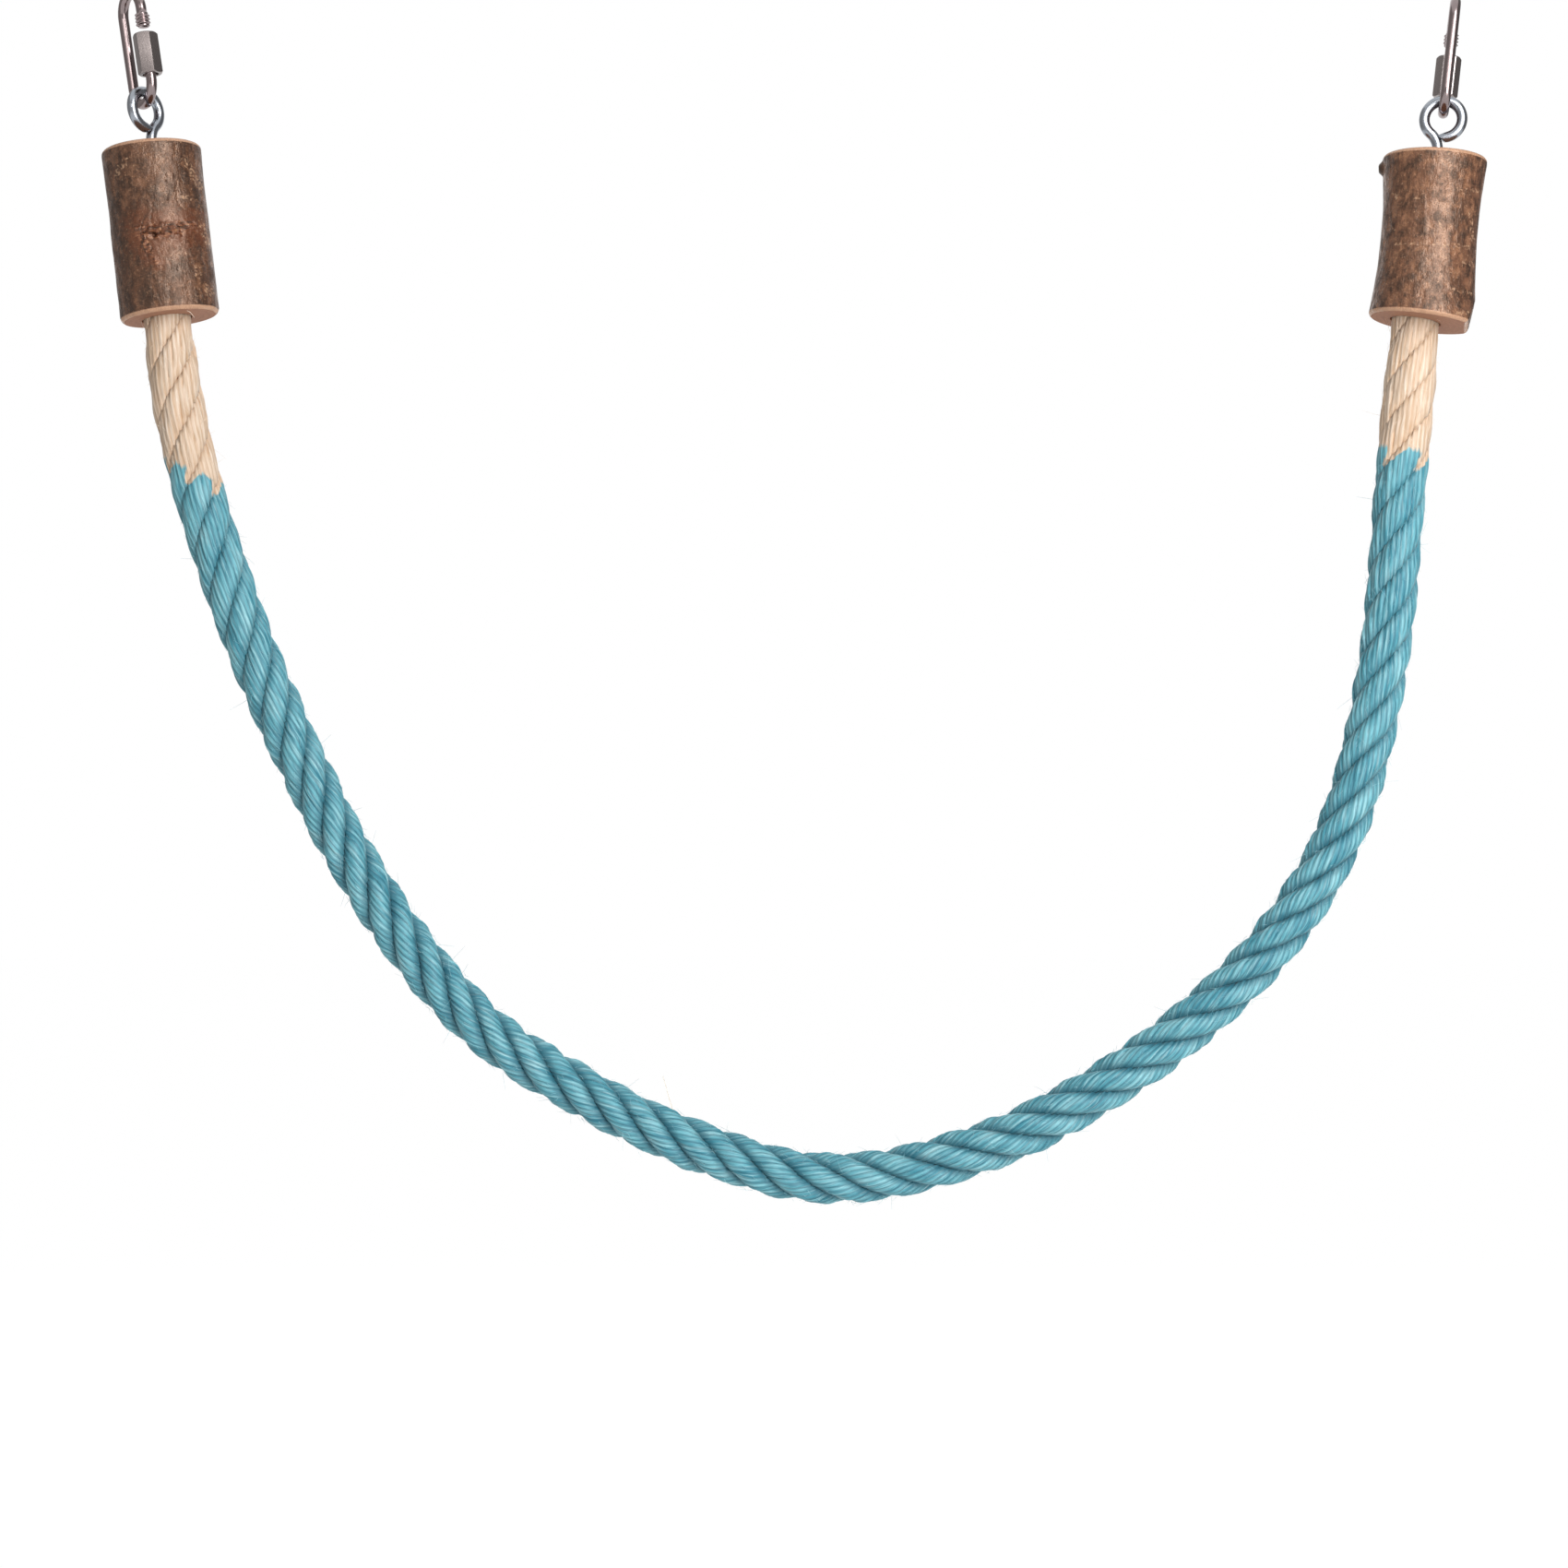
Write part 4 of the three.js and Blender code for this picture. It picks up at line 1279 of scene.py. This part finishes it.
def white_room():
    world = bpy.data.worlds.new("white_room")
    world.use_nodes = True
    bpy.context.scene.world = world
    tree = world.node_tree
    strength = tree.nodes.new("ShaderNodeMapRange")
    strength.inputs["To Min"].default_value = AMBIENT
    strength.inputs["To Max"].default_value = 1.0
    tree.links.new(seen(tree), strength.inputs["Value"])
    background = tree.nodes["Background"]
    background.inputs["Color"].default_value = (1, 1, 1, 1)
    tree.links.new(strength.outputs["Result"], background.inputs["Strength"])


def pale_floor():
    begin()
    bpy.ops.mesh.primitive_plane_add(size=FLOOR_SIZE, location=(PICTURE_CENTRE.x, 0, FLOOR_HEIGHT))
    floor = made("floor")
    paper = Finish("white_paper")
    glow = paper.node("ShaderNodeEmission", {"Strength": FLOOR_GLOW})
    matt = paper.node("ShaderNodeBsdfDiffuse", {"Color": PAPER})
    shown = paper.node("ShaderNodeMapRange", {"Value": seen(paper.tree), "To Max": 1 - FLOOR_SHADOW})
    both = paper.node(
        "ShaderNodeMixShader",
        {0: shown.outputs["Result"], 1: matt.outputs["BSDF"], 2: glow.outputs["Emission"]},
    )
    paper.show(both.outputs["Shader"])
    floor.data.materials.append(paper.material)


def aimed(place, axis):
    return (PICTURE_CENTRE - Vector(place)).to_track_quat(axis, "Y").to_euler()


def soft_light(name, place, width, height, power):
    bpy.ops.object.light_add(type="AREA", location=place, rotation=aimed(place, "-Z"))
    lamp = bpy.context.object
    lamp.name = name
    lamp.data.shape = "RECTANGLE"
    lamp.data.size = width
    lamp.data.size_y = height
    lamp.data.energy = power
    return lamp


# A card of one shade that only reflections show, as in a studio
def studio_card(name, place, width, height, shade):
    begin()
    bpy.ops.mesh.primitive_plane_add(size=1, location=place, rotation=aimed(place, "Z"))
    bpy.context.object.scale = (width, height, 1)
    card = made(name)
    board = Finish(name)
    tint = [shade * share for share in CARD_TINT]
    glow = board.node("ShaderNodeEmission", {"Color": (*tint, 1)})
    board.show(glow.outputs["Emission"])
    card.data.materials.append(board.material)
    for ray in ("camera", "diffuse", "transmission", "shadow"):
        setattr(card, f"visible_{ray}", False)


def camera():
    place = PICTURE_CENTRE - Vector((0, CAMERA_DISTANCE, 0))
    bpy.ops.object.camera_add(location=place, rotation=(math.pi / 2, 0, 0))
    made_camera = bpy.context.object
    made_camera.data.sensor_width = SENSOR
    made_camera.data.lens = SENSOR * CAMERA_DISTANCE / PICTURE_WIDTH
    bpy.context.scene.camera = made_camera


def dress():
    camera()
    finishes = {
        "steel": steel_finish(),
        "nut": nut_finish(),
        "zinc": zinc_finish(),
        "left_bark": bark_finish("left_young_bark", LEFT_BRANCH),
        "right_bark": bark_finish("right_young_bark", RIGHT_BRANCH),
        "wood": wood_finish(),
        "glue": glue_finish(),
    }
    link = bent_link()
    eye = bent_eye()
    left = (link, sleeve_nut("left_nut", *LEFT_NUT), eye)
    right = (copied(link, "right_link"), sleeve_nut("right_nut", *RIGHT_NUT), copied(eye, "right_eye"))
    dress_end("left", left, finishes, LEFT_HANG, LEFT_BRANCH)
    dress_end("right", right, finishes, RIGHT_HANG, RIGHT_BRANCH)
    dress_rope()
    white_room()
    pale_floor()
    soft_light("key", *KEY_LIGHT)
    soft_light("back_fill", *BACK_LIGHT).visible_glossy = False
    for name, card in STUDIO_CARDS.items():
        studio_card(name, *card)
    bpy.context.scene.view_settings.view_transform = "Standard"


dress()
